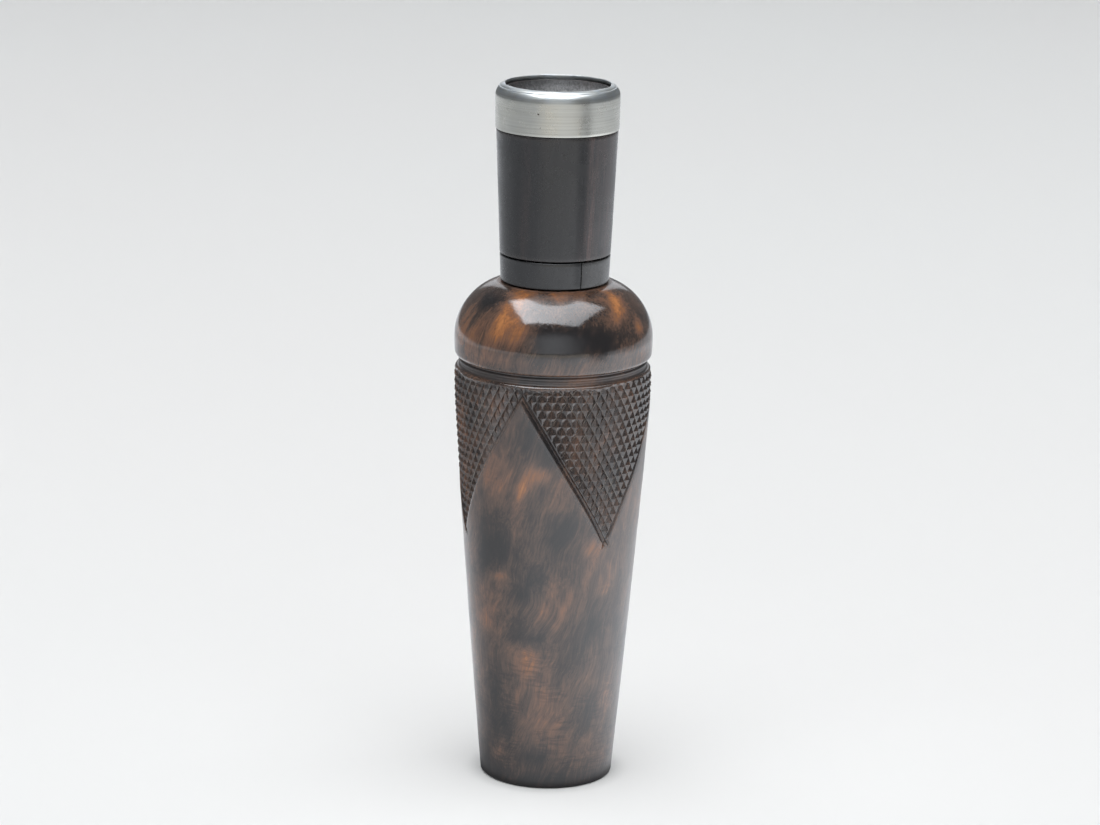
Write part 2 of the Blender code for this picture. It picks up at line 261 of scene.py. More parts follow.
class Nodes:
    """Adds and links nodes in one tree, so that a finish reads as a list of steps."""

    def __init__(self, tree: bpy.types.NodeTree) -> None:
        """Work in one node tree."""
        self.tree = tree

    def add(self, kind: str, settings: dict | None = None, **inputs: object) -> bpy.types.Node:
        """Add a node, set its properties, and link or set its inputs by name.

        Args:
            kind: The node's type, such as ShaderNodeMath.
            settings: Properties to set on the node.
            **inputs: Input names, with _ for a space, or in0, in1 for places; each value is
                an output socket to link or a plain value.

        Returns:
            The node.
        """
        node = self.tree.nodes.new(kind)
        for key, value in (settings or {}).items():
            setattr(node, key, value)
        for key, value in inputs.items():
            place = int(key[2:]) if key[:2] == "in" and key[2:].isdigit() else key.replace("_", " ")
            self.put(node.inputs[place], value)
        return node

    def put(self, socket: bpy.types.NodeSocket, value: object) -> None:
        """Link an output to a socket, or set the socket's own value. Colours need no alpha."""
        if isinstance(value, bpy.types.NodeSocket):
            self.tree.links.new(value, socket)
        elif socket.type == "RGBA":
            socket.default_value = (*value, 1.0)
        else:
            socket.default_value = value

    def math(self, operation: str, *values: object, clamp: bool = False) -> bpy.types.NodeSocket:
        """The result of a Math node on one to three values."""
        node = self.add("ShaderNodeMath", {"operation": operation, "use_clamp": clamp})
        for socket, value in zip(node.inputs, values):
            self.put(socket, value)
        return node.outputs[0]

    def plus(self, total: object, value: object, share: float, clamp: bool = False) -> bpy.types.NodeSocket:
        """A total plus a share of another value, which may be negative."""
        return self.math("MULTIPLY_ADD", value, share, total, clamp=clamp)

    def vector(self, operation: str, *values: object) -> bpy.types.NodeSocket:
        """The vector from a Vector Math node on two values."""
        node = self.add("ShaderNodeVectorMath", {"operation": operation})
        for socket, value in zip(node.inputs, values):
            self.put(socket, value)
        return node.outputs["Vector"]

    def mix(self, share: object, low: object, high: object) -> bpy.types.NodeSocket:
        """A colour mixed from two, by the share of the second."""
        node = self.add("ShaderNodeMix", {"data_type": "RGBA"})
        self.put(node.inputs["Factor"], share)
        self.put(node.inputs[6], low)
        self.put(node.inputs[7], high)
        return node.outputs[2]

    def remap(self, value: object, low: float, high: float, to_low: float = 0.0,
              to_high: float = 1.0) -> bpy.types.NodeSocket:
        """A value taken smoothly and clamped from one range to another."""
        node = self.add("ShaderNodeMapRange", {"interpolation_type": "SMOOTHSTEP"}, Value=value, From_Min=low,
                        From_Max=high, To_Min=to_low, To_Max=to_high)
        return node.outputs["Result"]

    def ramp(self, value: object, stops: list[tuple[float, Colour]]) -> bpy.types.NodeSocket:
        """A colour looked up from stops of (place, colour)."""
        node = self.add("ShaderNodeValToRGB", Fac=value)
        points = node.color_ramp.elements
        while len(points) < len(stops):
            points.new(1.0)
        for point, (place, colour) in zip(points, stops):
            point.position = place
            point.color = (*colour, 1.0)
        return node.outputs["Color"]

    def noise(self, where: object, scale: object, detail: float = 3.0, roughness: float = 0.5,
              distortion: float = 0.0) -> bpy.types.NodeSocket:
        """Noise between 0 and 1, features about 1 / scale across in the coordinates' units."""
        node = self.add("ShaderNodeTexNoise", Vector=where, Scale=scale, Detail=detail, Roughness=roughness,
                        Distortion=distortion)
        return node.outputs["Fac"]

    def mapping(self, where: object, scale: tuple[float, float, float],
                turn: tuple[float, float, float] = (0.0, 0.0, 0.0)) -> bpy.types.NodeSocket:
        """Coordinates turned by degrees and then scaled."""
        angles = tuple(math.radians(angle) for angle in turn)
        turned = self.add("ShaderNodeMapping", Vector=where, Rotation=angles).outputs[0]
        return self.add("ShaderNodeMapping", Vector=turned, Scale=scale).outputs[0]

    def millimetres(self) -> bpy.types.NodeSocket:
        """Object coordinates in millimetres."""
        place = self.add("ShaderNodeTexCoord").outputs["Object"]
        return self.mapping(place, (1000.0, 1000.0, 1000.0))

    def attribute(self, name: str) -> bpy.types.NodeSocket:
        """A number painted on the piece's points."""
        return self.add("ShaderNodeAttribute", {"attribute_name": name}).outputs["Fac"]


class Effect(Enum):
    """Surface effects that several finishes share, each a node group built once."""

    HANDLING = "handling_marks"
    TURNING = "turning_lines"
    PORES = "wood_pores"


class SharedEffects:
    """Builds the shared node groups once and places them in materials."""

    def __init__(self) -> None:
        """Build every effect's group."""
        self.groups = {
            Effect.HANDLING: self._handling(),
            Effect.TURNING: self._turning(),
            Effect.PORES: self._pores(),
        }

    @staticmethod
    def _group(effect: Effect, values: dict[str, float]) -> tuple[bpy.types.NodeTree, Nodes, bpy.types.Node]:
        """Start a group with a Place input, named value inputs and a Mask output."""
        tree = bpy.data.node_groups.new(effect.value, "ShaderNodeTree")
        tree.interface.new_socket("Place", in_out="INPUT", socket_type="NodeSocketVector")
        for name, default in values.items():
            socket = tree.interface.new_socket(name, in_out="INPUT", socket_type="NodeSocketFloat")
            socket.default_value = default
        tree.interface.new_socket("Mask", in_out="OUTPUT", socket_type="NodeSocketFloat")
        nodes = Nodes(tree)
        return tree, nodes, nodes.add("NodeGroupInput")

    def _handling(self) -> bpy.types.NodeTree:
        """Fine crossing scratches with soft smudges under them, from being carried and handled."""
        tree, nodes, given = self._group(Effect.HANDLING, {"Scratches": 0.5, "Smudges": 0.5})
        total: object = 0.0
        for turn in ((20.0, 35.0, 0.0), (-50.0, 10.0, 70.0), (80.0, -25.0, 30.0)):
            along = nodes.mapping(given.outputs["Place"], (2.2, 2.2, 0.12), turn)
            line = nodes.remap(nodes.noise(along, 1.6, 2.0, 0.4), 0.66, 0.74)
            total = nodes.math("MAXIMUM", total, line)
        scratches = nodes.math("MULTIPLY", total, given.outputs["Scratches"])
        smudge = nodes.remap(nodes.noise(given.outputs["Place"], 0.16, 4.0, 0.6, 0.8), 0.42, 0.66)
        smudges = nodes.math("MULTIPLY", smudge, given.outputs["Smudges"])
        nodes.add("NodeGroupOutput", Mask=nodes.math("ADD", scratches, smudges, clamp=True))
        return tree

    def _turning(self) -> bpy.types.NodeTree:
        """Fine rings round the axis left by the lathe, uneven in strength."""
        tree, nodes, given = self._group(Effect.TURNING, {"Rings per mm": 5.0})
        stretched = nodes.vector("MULTIPLY", given.outputs["Place"], (0.02, 0.02, 1.0))
        rings = nodes.noise(stretched, given.outputs["Rings per mm"], 3.0, 0.7)
        patchy = nodes.remap(nodes.noise(given.outputs["Place"], 0.25, 2.0), 0.3, 0.7, 0.4, 1.0)
        nodes.add("NodeGroupOutput", Mask=nodes.math("MULTIPLY", rings, patchy))
        return tree

    def _pores(self) -> bpy.types.NodeTree:
        """Short open pores of a dense wood, stretched along the grain."""
        tree, nodes, given = self._group(Effect.PORES, {"Length": 0.25, "Amount": 0.5})
        scale = nodes.add("ShaderNodeCombineXYZ", X=1.0, Y=1.0, Z=given.outputs["Length"]).outputs[0]
        cells = nodes.noise(nodes.vector("MULTIPLY", given.outputs["Place"], scale), 3.2, 1.0, 0.4)
        edge = nodes.plus(0.80, given.outputs["Amount"], -0.16)
        over = nodes.math("SUBTRACT", cells, edge)
        nodes.add("NodeGroupOutput", Mask=nodes.math("MULTIPLY", over, 14.0, clamp=True))
        return tree

    def place(self, nodes: Nodes, effect: Effect, where: object, **values: float) -> bpy.types.NodeSocket:
        """Put an effect into a material with its own values.

        Args:
            nodes: The material's nodes.
            effect: Which effect.
            where: The coordinates, in millimetres.
            **values: The group's inputs by name, with _ for a space.

        Returns:
            The effect's mask.
        """
        node = nodes.add("ShaderNodeGroup", {"node_tree": self.groups[effect]}, Place=where, **values)
        return node.outputs["Mask"]


def start_material(name: str, **constants: float) -> tuple[bpy.types.Material, Nodes, bpy.types.Node]:
    """Make a material and set its shader's constant values.

    Args:
        name: The material's name.
        **constants: Shader inputs by name, with _ for a space.

    Returns:
        The material, its nodes and its Principled shader.
    """
    made = bpy.data.materials.new(name)
    made.use_nodes = True
    shader = made.node_tree.nodes["Principled BSDF"]
    for key, value in constants.items():
        shader.inputs[key.replace("_", " ")].default_value = value
    return made, Nodes(made.node_tree), shader


def set_bump(nodes: Nodes, shader: bpy.types.Node, height: object, distance: float) -> None:
    """Feed the shader's normal from a height, whose full range stands for a distance in metres."""
    bump = nodes.add("ShaderNodeBump", Height=height, Distance=distance)
    nodes.put(shader.inputs["Normal"], bump.outputs["Normal"])


# Finishes


@dataclass(frozen=True)
class BurlFinish:
    """Dark walnut burl under varnish: black clouds, rust figure, streaks of curl and fine cross ripples.

    warp is how far the grain wanders, in millimetres, and contrast stretches light and dark
    away from the middle tone.
    """

    black: Colour = (0.011, 0.009, 0.0095)
    umber: Colour = (0.034, 0.022, 0.018)
    brown: Colour = (0.088, 0.052, 0.037)
    russet: Colour = (0.175, 0.088, 0.054)
    rust: Colour = (0.27, 0.113, 0.047)
    gold: Colour = (0.48, 0.195, 0.064)
    # Painted shade: the colour that the checkering's cuts and the lanyard groove are darkened towards.
    recess_shade: Colour = (0.018, 0.016, 0.016)
    # Pale lines along the deepest grooves, and painted highlights in the flecks on the shoulder's crest.
    pale_marks: Colour = (0.24, 0.21, 0.185)
    middle_tone: float = 0.36
    contrast: float = 1.18
    warp: float = 6.0

    def build(self, effects: SharedEffects) -> bpy.types.Material:
        """Make the burl's material. It reads the points' figure, cut and polish values."""
        made, nodes, shader = start_material("walnut_burl", IOR=1.85)
        place = nodes.millimetres()
        bend = nodes.add("ShaderNodeTexNoise", Vector=place, Scale=0.07, Detail=2.0).outputs["Color"]
        bend = nodes.vector("SUBTRACT", bend, (0.5, 0.5, 0.5))
        warped = nodes.vector("ADD", place, nodes.vector("MULTIPLY", bend, (self.warp, self.warp, self.warp)))

        clouds = nodes.noise(warped, 0.12, 3.0, 0.55, 0.3)
        curl = nodes.noise(nodes.mapping(warped, (0.50, 0.50, 0.075), (0.0, -20.0, 0.0)), 1.0, 2.5, 0.55, 0.2)
        fibre = nodes.noise(nodes.mapping(warped, (2.6, 2.6, 0.20), (0.0, -16.0, 0.0)), 1.0, 4.0, 0.75)
        figure = nodes.math("SUBTRACT", nodes.attribute("figure"), 0.5)
        tone = nodes.math("MULTIPLY_ADD", figure, 1.00, 0.35)
        tone = nodes.math("ADD", tone, nodes.math("MULTIPLY_ADD", clouds, 0.50, -0.25))
        swing = nodes.math("MULTIPLY_ADD", nodes.math("ABSOLUTE", figure), 0.70, 0.50)
        tone = nodes.math("ADD", tone, nodes.math("MULTIPLY", nodes.math("SUBTRACT", curl, 0.5), swing))
        tone = nodes.math("ADD", tone, nodes.math("MULTIPLY_ADD", fibre, 0.75, -0.375))
        tone = nodes.plus(0.35, nodes.math("SUBTRACT", tone, self.middle_tone), self.contrast, clamp=True)
        stops = [(0.0, self.black), (0.20, self.umber), (0.40, self.brown), (0.58, self.russet)]
        colour = nodes.ramp(tone, [*stops, (0.78, self.rust), (1.0, self.gold)])

        height_up = nodes.add("ShaderNodeSeparateXYZ", Vector=place).outputs["Z"]
        low = nodes.remap(height_up, 20.0, 32.0, 1.0, 0.25)
        bands = nodes.remap(nodes.noise(nodes.mapping(warped, (0.30, 0.30, 1.9)), 1.0, 2.0, 0.6), 0.44, 0.60)
        shimmer = nodes.math("MULTIPLY", nodes.remap(nodes.noise(place, 0.16, 1.0), 0.42, 0.60), low)
        shimmer = nodes.math("MULTIPLY", nodes.math("MULTIPLY", shimmer, bands), 0.50)
        colour = nodes.mix(shimmer, colour, self.black)
        pores = effects.place(nodes, Effect.PORES, warped, Length=0.16, Amount=0.55)
        colour = nodes.mix(nodes.math("MULTIPLY", pores, 0.6), colour, self.black)

        # The cut value carries the painted shade of the cuts and the lanyard groove, and the crest's flecks,
        # which are painted highlights.
        cut = nodes.attribute("cut")
        patchy = nodes.remap(nodes.noise(place, 0.5, 3.0), 0.35, 0.65)
        shade_patchiness = nodes.remap(nodes.noise(place, 0.10, 2.0), 0.40, 0.62, 0.78, 0.30)
        # Painted shade: the cuts and the lanyard groove darkened, in patches.
        shade_and_flecks = nodes.math("MULTIPLY", nodes.remap(cut, 0.02, 0.5), shade_patchiness)
        colour = nodes.mix(shade_and_flecks, colour, self.recess_shade)
        # Pale lines along the deepest grooves, and painted highlights where the crest's flecks are.
        pale_share = nodes.math("MULTIPLY", nodes.remap(cut, 0.80, 0.95), nodes.plus(0.10, patchy, 0.45))
        colour = nodes.mix(pale_share, colour, self.pale_marks)
        nodes.put(shader.inputs["Base Color"], colour)

        marks = effects.place(nodes, Effect.HANDLING, place, Scratches=0.5, Smudges=0.6)
        rough = nodes.remap(nodes.attribute("polish"), 0.0, 1.0, 0.40, 0.065)
        nodes.put(shader.inputs["Roughness"], nodes.plus(rough, marks, 0.06))

        peel = nodes.noise(place, 0.9, 2.0)
        height = nodes.plus(nodes.math("MULTIPLY", peel, 0.30), pores, -0.5)
        height = nodes.plus(nodes.plus(height, fibre, 0.30), marks, -0.18)
        set_bump(nodes, shader, height, 0.035 * MM)
        return made


@dataclass(frozen=True)
class DarkWoodFinish:
    """Near-black rosewood with straight grain, reddish heart streaks and short open pores."""

    black: Colour = (0.0050, 0.0050, 0.0062)
    grey: Colour = (0.0085, 0.0080, 0.0090)
    heart: Colour = (0.085, 0.048, 0.042)
    pore: Colour = (0.004, 0.003, 0.003)
    rubbed: Colour = (0.10, 0.085, 0.08)
    bare: Colour = (0.48, 0.485, 0.50)

    def build(self, effects: SharedEffects) -> bpy.types.Material:
        """Make the dark wood's material. It reads the points' streak, edge and inside values."""
        made, nodes, shader = start_material("dark_hardwood", IOR=1.68)
        place = nodes.millimetres()
        grain = nodes.noise(nodes.mapping(place, (0.9, 0.9, 0.018), (1.5, -1.0, 0.0)), 1.0, 4.0, 0.6, 0.3)
        fine = nodes.noise(nodes.mapping(place, (5.0, 5.0, 0.10)), 1.0, 2.0, 0.6)
        streak = nodes.math("MULTIPLY", nodes.attribute("streak"), nodes.remap(grain, 0.36, 0.62, 0.1, 1.0))
        colour = nodes.mix(nodes.remap(grain, 0.35, 0.7), self.black, self.grey)
        streak = nodes.math("MULTIPLY", streak, nodes.remap(fine, 0.3, 0.7, 0.35, 1.0))
        colour = nodes.mix(streak, colour, self.heart)
        pores = effects.place(nodes, Effect.PORES, place, Length=0.12, Amount=0.62)
        colour = nodes.mix(nodes.math("MULTIPLY", pores, 0.85), colour, self.pore)
        colour = nodes.mix(nodes.math("MULTIPLY", nodes.attribute("edge"), 0.25), colour, self.rubbed)
        # The exhaust's inside: a bare grey wall with speckles, and painted light and shade from the inside
        # value, lighter to the right and darker just under the rim.
        inside_grey_and_light = nodes.remap(nodes.noise(place, 2.2, 4.0, 0.7), 0.3, 0.7, 0.45, 1.0)
        inside_grey_and_light = nodes.math("MULTIPLY", nodes.attribute("inside"), inside_grey_and_light)
        colour = nodes.mix(inside_grey_and_light, colour, self.bare)
        nodes.put(shader.inputs["Base Color"], colour)
        marks = effects.place(nodes, Effect.HANDLING, place, Scratches=0.6, Smudges=0.8)
        rough = nodes.plus(nodes.plus(0.17, marks, 0.12), fine, 0.10, clamp=True)
        nodes.put(shader.inputs["Roughness"], rough)
        rings = effects.place(nodes, Effect.TURNING, place, Rings_per_mm=3.0)
        height = nodes.plus(nodes.math("MULTIPLY", fine, 0.3), rings, 0.15)
        height = nodes.plus(height, pores, -0.6)
        set_bump(nodes, shader, height, 0.018 * MM)
        return made


@dataclass(frozen=True)
class HardRubberFinish:
    """Plain black hard rubber with a satin polish, faint lathe rings, and paler patches, paler still on the
    block.
    """

    body: Colour = (0.0105, 0.0110, 0.0125)
    rubbed: Colour = (0.050, 0.047, 0.044)

    def build(self, effects: SharedEffects) -> bpy.types.Material:
        """Make the hard rubber's material. It reads the points' pale value."""
        made, nodes, shader = start_material("hard_rubber", IOR=1.70)
        place = nodes.millimetres()
        marks = effects.place(nodes, Effect.HANDLING, place, Scratches=0.7, Smudges=0.6)
        bloom = nodes.remap(nodes.noise(place, 0.35, 4.0, 0.6), 0.4, 0.75)
        bloom = nodes.plus(nodes.math("MULTIPLY", bloom, 0.16), nodes.attribute("pale"), 0.4)
        colour = nodes.mix(bloom, self.body, self.rubbed)
        nodes.put(shader.inputs["Base Color"], colour)
        nodes.put(shader.inputs["Roughness"], nodes.plus(0.18, marks, 0.16))
        rings = effects.place(nodes, Effect.TURNING, place, Rings_per_mm=4.0)
        height = nodes.plus(nodes.math("MULTIPLY", rings, 0.5), marks, -0.3)
        set_bump(nodes, shader, height, 0.02 * MM)
        return made


@dataclass(frozen=True)
class WhiteMetalFinish:
    """Turned white metal, warm and lightly polished, with fine rings, a dulled lip and small pits."""

    bright: Colour = (0.62, 0.615, 0.565)
    dull: Colour = (0.60, 0.64, 0.665)
    shade: Colour = (0.34, 0.33, 0.29)
    pit: Colour = (0.08, 0.07, 0.06)

    def build(self, effects: SharedEffects) -> bpy.types.Material:
        """Make the band's material. It reads the points' lip value."""
        made, nodes, shader = start_material("white_metal")
        place = nodes.millimetres()
        rings = effects.place(nodes, Effect.TURNING, place, Rings_per_mm=6.0)
        marks = effects.place(nodes, Effect.HANDLING, place, Scratches=0.8, Smudges=0.7)
        lip = nodes.attribute("lip")
        blotch = nodes.remap(nodes.noise(place, 0.45, 4.0, 0.65), 0.35, 0.7)
        tarnish = nodes.math("MULTIPLY", lip, nodes.plus(0.35, blotch, 0.65))
        tarnish = nodes.plus(tarnish, marks, 0.18, clamp=True)
        colour = nodes.mix(tarnish, self.bright, self.dull)
        turned = nodes.noise(nodes.mapping(place, (0.03, 0.03, 4.5)), 1.0, 3.0, 0.7)
        colour = nodes.mix(nodes.remap(turned, 0.42, 0.66, 0.0, 0.30), colour, self.shade)
        pits = nodes.remap(nodes.noise(place, 1.7, 1.0, 0.3), 0.80, 0.84)
        colour = nodes.mix(pits, colour, self.pit)
        nodes.put(shader.inputs["Base Color"], colour)
        nodes.put(shader.inputs["Metallic"], nodes.plus(1.0, pits, -0.7))
        rough = nodes.plus(nodes.plus(0.20, rings, 0.22), marks, 0.10)
        nodes.put(shader.inputs["Roughness"], nodes.plus(rough, lip, 0.06, clamp=True))
        height = nodes.math("SUBTRACT", nodes.math("MULTIPLY", rings, 0.8), pits)
        height = nodes.plus(height, marks, -0.2)
        set_bump(nodes, shader, height, 0.02 * MM)
        return made


@dataclass(frozen=True)
class BrassFinish:
    """Rolled brass, rubbed bright in places and browned in others."""

    bright: Colour = (0.78, 0.55, 0.24)
    brown: Colour = (0.33, 0.20, 0.085)

    def build(self, effects: SharedEffects) -> bpy.types.Material:
        """Make the brass's material."""
        made, nodes, shader = start_material("brass", Metallic=1.0)
        place = nodes.millimetres()
        rolled = nodes.noise(nodes.mapping(place, (6.0, 6.0, 0.15)), 1.0, 3.0, 0.6)
        age = nodes.remap(nodes.noise(place, 0.30, 5.0, 0.62, 0.5), 0.42, 0.70)
        marks = effects.place(nodes, Effect.HANDLING, place, Scratches=0.9, Smudges=0.5)
        nodes.put(shader.inputs["Base Color"], nodes.mix(age, self.bright, self.brown))
        nodes.put(shader.inputs["Roughness"], nodes.plus(nodes.plus(0.20, age, 0.22), marks, 0.12))
        set_bump(nodes, shader, nodes.plus(nodes.math("MULTIPLY", rolled, 0.5), marks, -0.4), 0.015 * MM)
        return made


# The barrel


@dataclass
class Checkering:
    """Three pointed panels of hand-cut checkering round the barrel's shoulder.

    around is the number of diamonds round the barrel, and first_tip and overrun are counted in
    diamonds too. The panels' spacing leans by up to lean degrees, most at lean_azimuth.
    """

    around: int = 57
    panels: int = 3
    first_tip: float = -7.5
    lean: float = 5.2
    lean_azimuth: float = -107.5
    top_z: float = 77.6 * MM
    pitch_z: float = 2.98 * MM
    depth: float = 0.60 * MM
    border_depth: float = 0.42 * MM
    overrun: float = 0.70
    seed: int = 11

    @property
    def bottom_z(self) -> float:
        """The lowest height that a cut reaches."""
        return self.top_z - self.pitch_z * (self.around / self.panels / 2 + 1.5)

    def _line_depth(self, across: np.ndarray, rng: np.random.Generator) -> np.ndarray:
        """One family of parallel V grooves.

        Formula: the groove lines stand at whole numbers and a half, each a little deeper or
        shallower as a hand cuts them; the depth falls straight from 1 on a line to 0 halfway
        to the next.

        Args:
            across: How many grooves along each point is, counted across the lines.
            rng: Draws each line's unevenness.

        Returns:
            The depth, 0 to about 1.
        """
        depth = rng.uniform(0.84, 1.04, self.around)
        line = np.floor(across + 1e-6).astype(int)
        return depth[line % self.around] * (1.0 - 2.0 * np.abs(across - line - 0.5))

    def moved(self, theta: np.ndarray, z: np.ndarray) -> tuple[np.ndarray, np.ndarray]:
        """Where the points of an even grid go, so that its lines follow the grooves.

        Formula: the angles lean by a cosine of the azimuth, as the panels aren't evenly spaced.
        Near the panels both angles and heights also wander a little, as hand-cut lines do.

        Args:
            theta: Angles about the axis, in radians.
            z: Heights, in metres.

        Returns:
            The angles and the heights to use instead.
        """
        middle = math.radians(self.lean_azimuth) - math.pi / 2
        lean = math.radians(self.lean) * np.cos(theta - middle)
        lean = math.radians(self.lean) * np.cos(theta + lean - middle)
        near = smoothstep(self.bottom_z - 4.0 * MM, self.bottom_z + 1.0 * MM, z)
        near = near * (1.0 - smoothstep(self.top_z - 1.5 * MM, self.top_z + 0.5 * MM, z))
        wander = 0.07 * ripple(theta, z, 22.0 * MM, 5) * 2.0 * math.pi / self.around
        drift = 0.06 * ripple(theta, z, 19.0 * MM, 6) * self.pitch_z
        return theta + lean - wander * near, z + drift * near

    def cut(self, theta: np.ndarray, z: np.ndarray) -> np.ndarray:
        """The depth of the cuts over the barrel's outside.

        Formula: with u counting diamonds round the barrel and v counting them down from the
        panels' top edge, the grooves are the lines u + v and u - v = a whole number and a half.
        A panel is where |u - tip| + v is less than half its width. Its left edge is two grooves
        side by side with a soft bank outside them, its right edge is one groove with a soft
        outer bank, and both run on past the tip.

        Args:
            theta: Angles about the axis, in radians.
            z: Heights, in metres.

        Returns:
            The depth in metres.
        """
        rng = np.random.default_rng(self.seed)
        azimuth = theta + math.pi / 2
        u = theta / (2.0 * math.pi) * self.around
        v = (self.top_z - z) / self.pitch_z
        half = self.around / self.panels / 2
        from_tip = (u - self.first_tip + half) % (2 * half) - half
        lattice = from_tip + half + 0.5
        rising = self._line_depth(lattice + v, rng)
        falling = self._line_depth(lattice - v, rng)
        diamonds = np.maximum(rising, falling)

        inside = half - v - np.abs(from_tip)
        rightward = smoothstep(25.0, 70.0, np.degrees((azimuth + math.pi) % (2 * math.pi) - math.pi))
        top_edge = -0.34 + 0.07 * ripple(theta, z * 0.0, 5.0 * MM, 8) - 0.20 * rightward
        below_top = smoothstep(-0.12, 0.12, v - top_edge)
        in_panel = smoothstep(-0.06, 0.06, inside) * below_top
        above_end = below_top * (1.0 - smoothstep(half, half + self.overrun, v))

        def edge_line(side: int, offset: float, inner: float, outer: float, deep: float) -> np.ndarray:
            """A groove along one edge of the panels, offset outwards, with its own width on each side."""
            away = from_tip * side - (half - v) - offset
            share = np.clip(1.0 - np.where(away < 0.0, -away / inner, away / outer), 0.0, 1.0)
            return deep * np.where(away > 0.25, share * share, share) * above_end

        borders = np.maximum.reduce([
            edge_line(-1, 0.0, 0.24, 0.24, 1.0),
            edge_line(-1, 0.50, 0.22, 0.24, 0.85),
            edge_line(-1, 0.85, 0.30, 0.60, 0.16),
            edge_line(1, 0.0, 0.24, 0.20, 1.0),
            edge_line(1, 0.10, 0.30, 0.55, 0.30),
        ])
        return np.maximum(diamonds * in_panel * self.depth, borders * self.border_depth)


@dataclass
class FigurePatch:
    """One lit patch of burl figure on the barrel's outside, slanted like its fibres."""

    azimuth: float
    z: float
    half_width: float
    half_height: float
    strength: float = 1.0
    slant: float = 0.28

    def glow(self, azimuth: np.ndarray, radius: np.ndarray, z: np.ndarray) -> np.ndarray:
        """The patch's strength over the surface.

        Formula: strength times exp(-(across / half_width)^2 - (up / half_height)^2), where
        across is the arc from the patch's middle, less slant times the height above it.

        Args:
            azimuth: Azimuths, in degrees.
            radius: Radii, in metres.
            z: Heights, in metres.

        Returns:
            The glow at each point.
        """
        around = np.radians((azimuth - self.azimuth + 180.0) % 360.0 - 180.0)
        up = z / MM - self.z
        across = around * radius / MM - self.slant * up
        return self.strength * np.exp(-(across / self.half_width) ** 2 - (up / self.half_height) ** 2)


